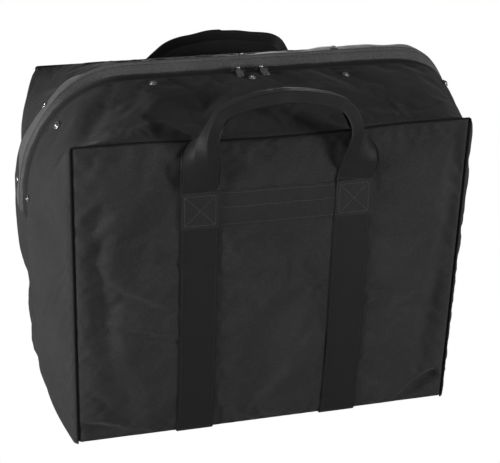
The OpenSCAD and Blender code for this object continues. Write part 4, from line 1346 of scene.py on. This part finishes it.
for word, side in SIDES:
    lines = []
    for end in (-1, 1):
        for edge in (-1, 1):
            x = end * STRAP_X + edge * (WEB_W / 2 - 3 * MM)
            lines.append(panel_line((x, 10 * MM), (x, BAND_Z - 2 * MM), side, 0.1 * MM))
        x0, x1 = end * STRAP_X - WEB_W / 2 + 5 * MM, end * STRAP_X + WEB_W / 2 - 5 * MM
        z0, z1 = BAND_Z + 5 * MM, STRAP_TOP - 5 * MM
        for a, b in (((x0, z0), (x1, z0)), ((x1, z0), (x1, z1)), ((x1, z1), (x0, z1)), ((x0, z1), (x0, z0)),
                     ((x0, z0), (x1, z1)), ((x0, z1), (x1, z0))):
            lines.append(panel_line(a, b, side, 0.1 * MM))
    reach = STRAP_X - WEB_W / 2 - 1 * MM
    pale = lines[2:8] + lines[10:16]
    for z in (BAND_Z + 3 * MM, BAND_Z + 28 * MM, STRAP_TOP - 4 * MM):
        pale.append(panel_line((-reach, z), (reach, z), side, 0.1 * MM))
    stitches(f"strap_stitches_{word}", lines[:2] + lines[8:10], "root")
    stitches(f"box_stitches_sewn_{word}", pale, "root", nodes=[f"box_stitches_{word}"], material=PALE_THREAD)

for word, side in SIDES:
    cols = [np.argmin(np.abs(STRIP_Y - side * y)) for y in (12 * MM, 15.5 * MM)]
    for end, ts, move in (
        ("left", (ZIP_END_S, 2), {"blend": opening_blend(side, -1)}),
        ("top", (2, 4), {"body": f"mouth_{word}"}),
        ("right", (4, 6 - ZIP_END_S), {"blend": opening_blend(side, 1)}),
    ):
        rows = rows_between(*ts)
        stitches(f"zip_stitches_{word}_{end}", [(STRIP[rows, c], STRIP_N[rows, c]) for c in cols], **move)


# ---- Seam cords: a binding, coloured near black to paint the shade in the seam grooves ----
for word, side in SIDES:
    distance = np.linspace(6 * MM, PANEL_H - SEAM_R + SEAM_R * np.pi / 2 + 2 * (HALF_L - SEAM_R), 260)
    half = seam_at(distance, SEAM_INSET - 0.9 * MM)
    half = half[half[:, 0] <= 0]
    line = np.concatenate([half, half[::-1] * np.array([-1, 1])])
    path = np.stack([line[:, 0], 0 * line[:, 0] + side * (HALF_D - 1.6 * MM), line[:, 1]], axis=-1)
    if side < 0:
        path[:, 2] -= np.where(path[:, 2] > PANEL_H - 8 * MM, top_sag(path[:, 0]), 0)
    tube(f"seam_cord_{word}", path, 1.3 * MM, BINDING_AND_PAINTED_SEAM_SHADE, "root", [f"seam_binding_{word}"], m=6)


# ---- End stops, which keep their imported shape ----
for node in ("zip_end_stop_left", "zip_end_stop_right"):
    frame["nodes"][node].data.materials.clear()
    frame["nodes"][node].data.materials.append(BLACK_METAL)
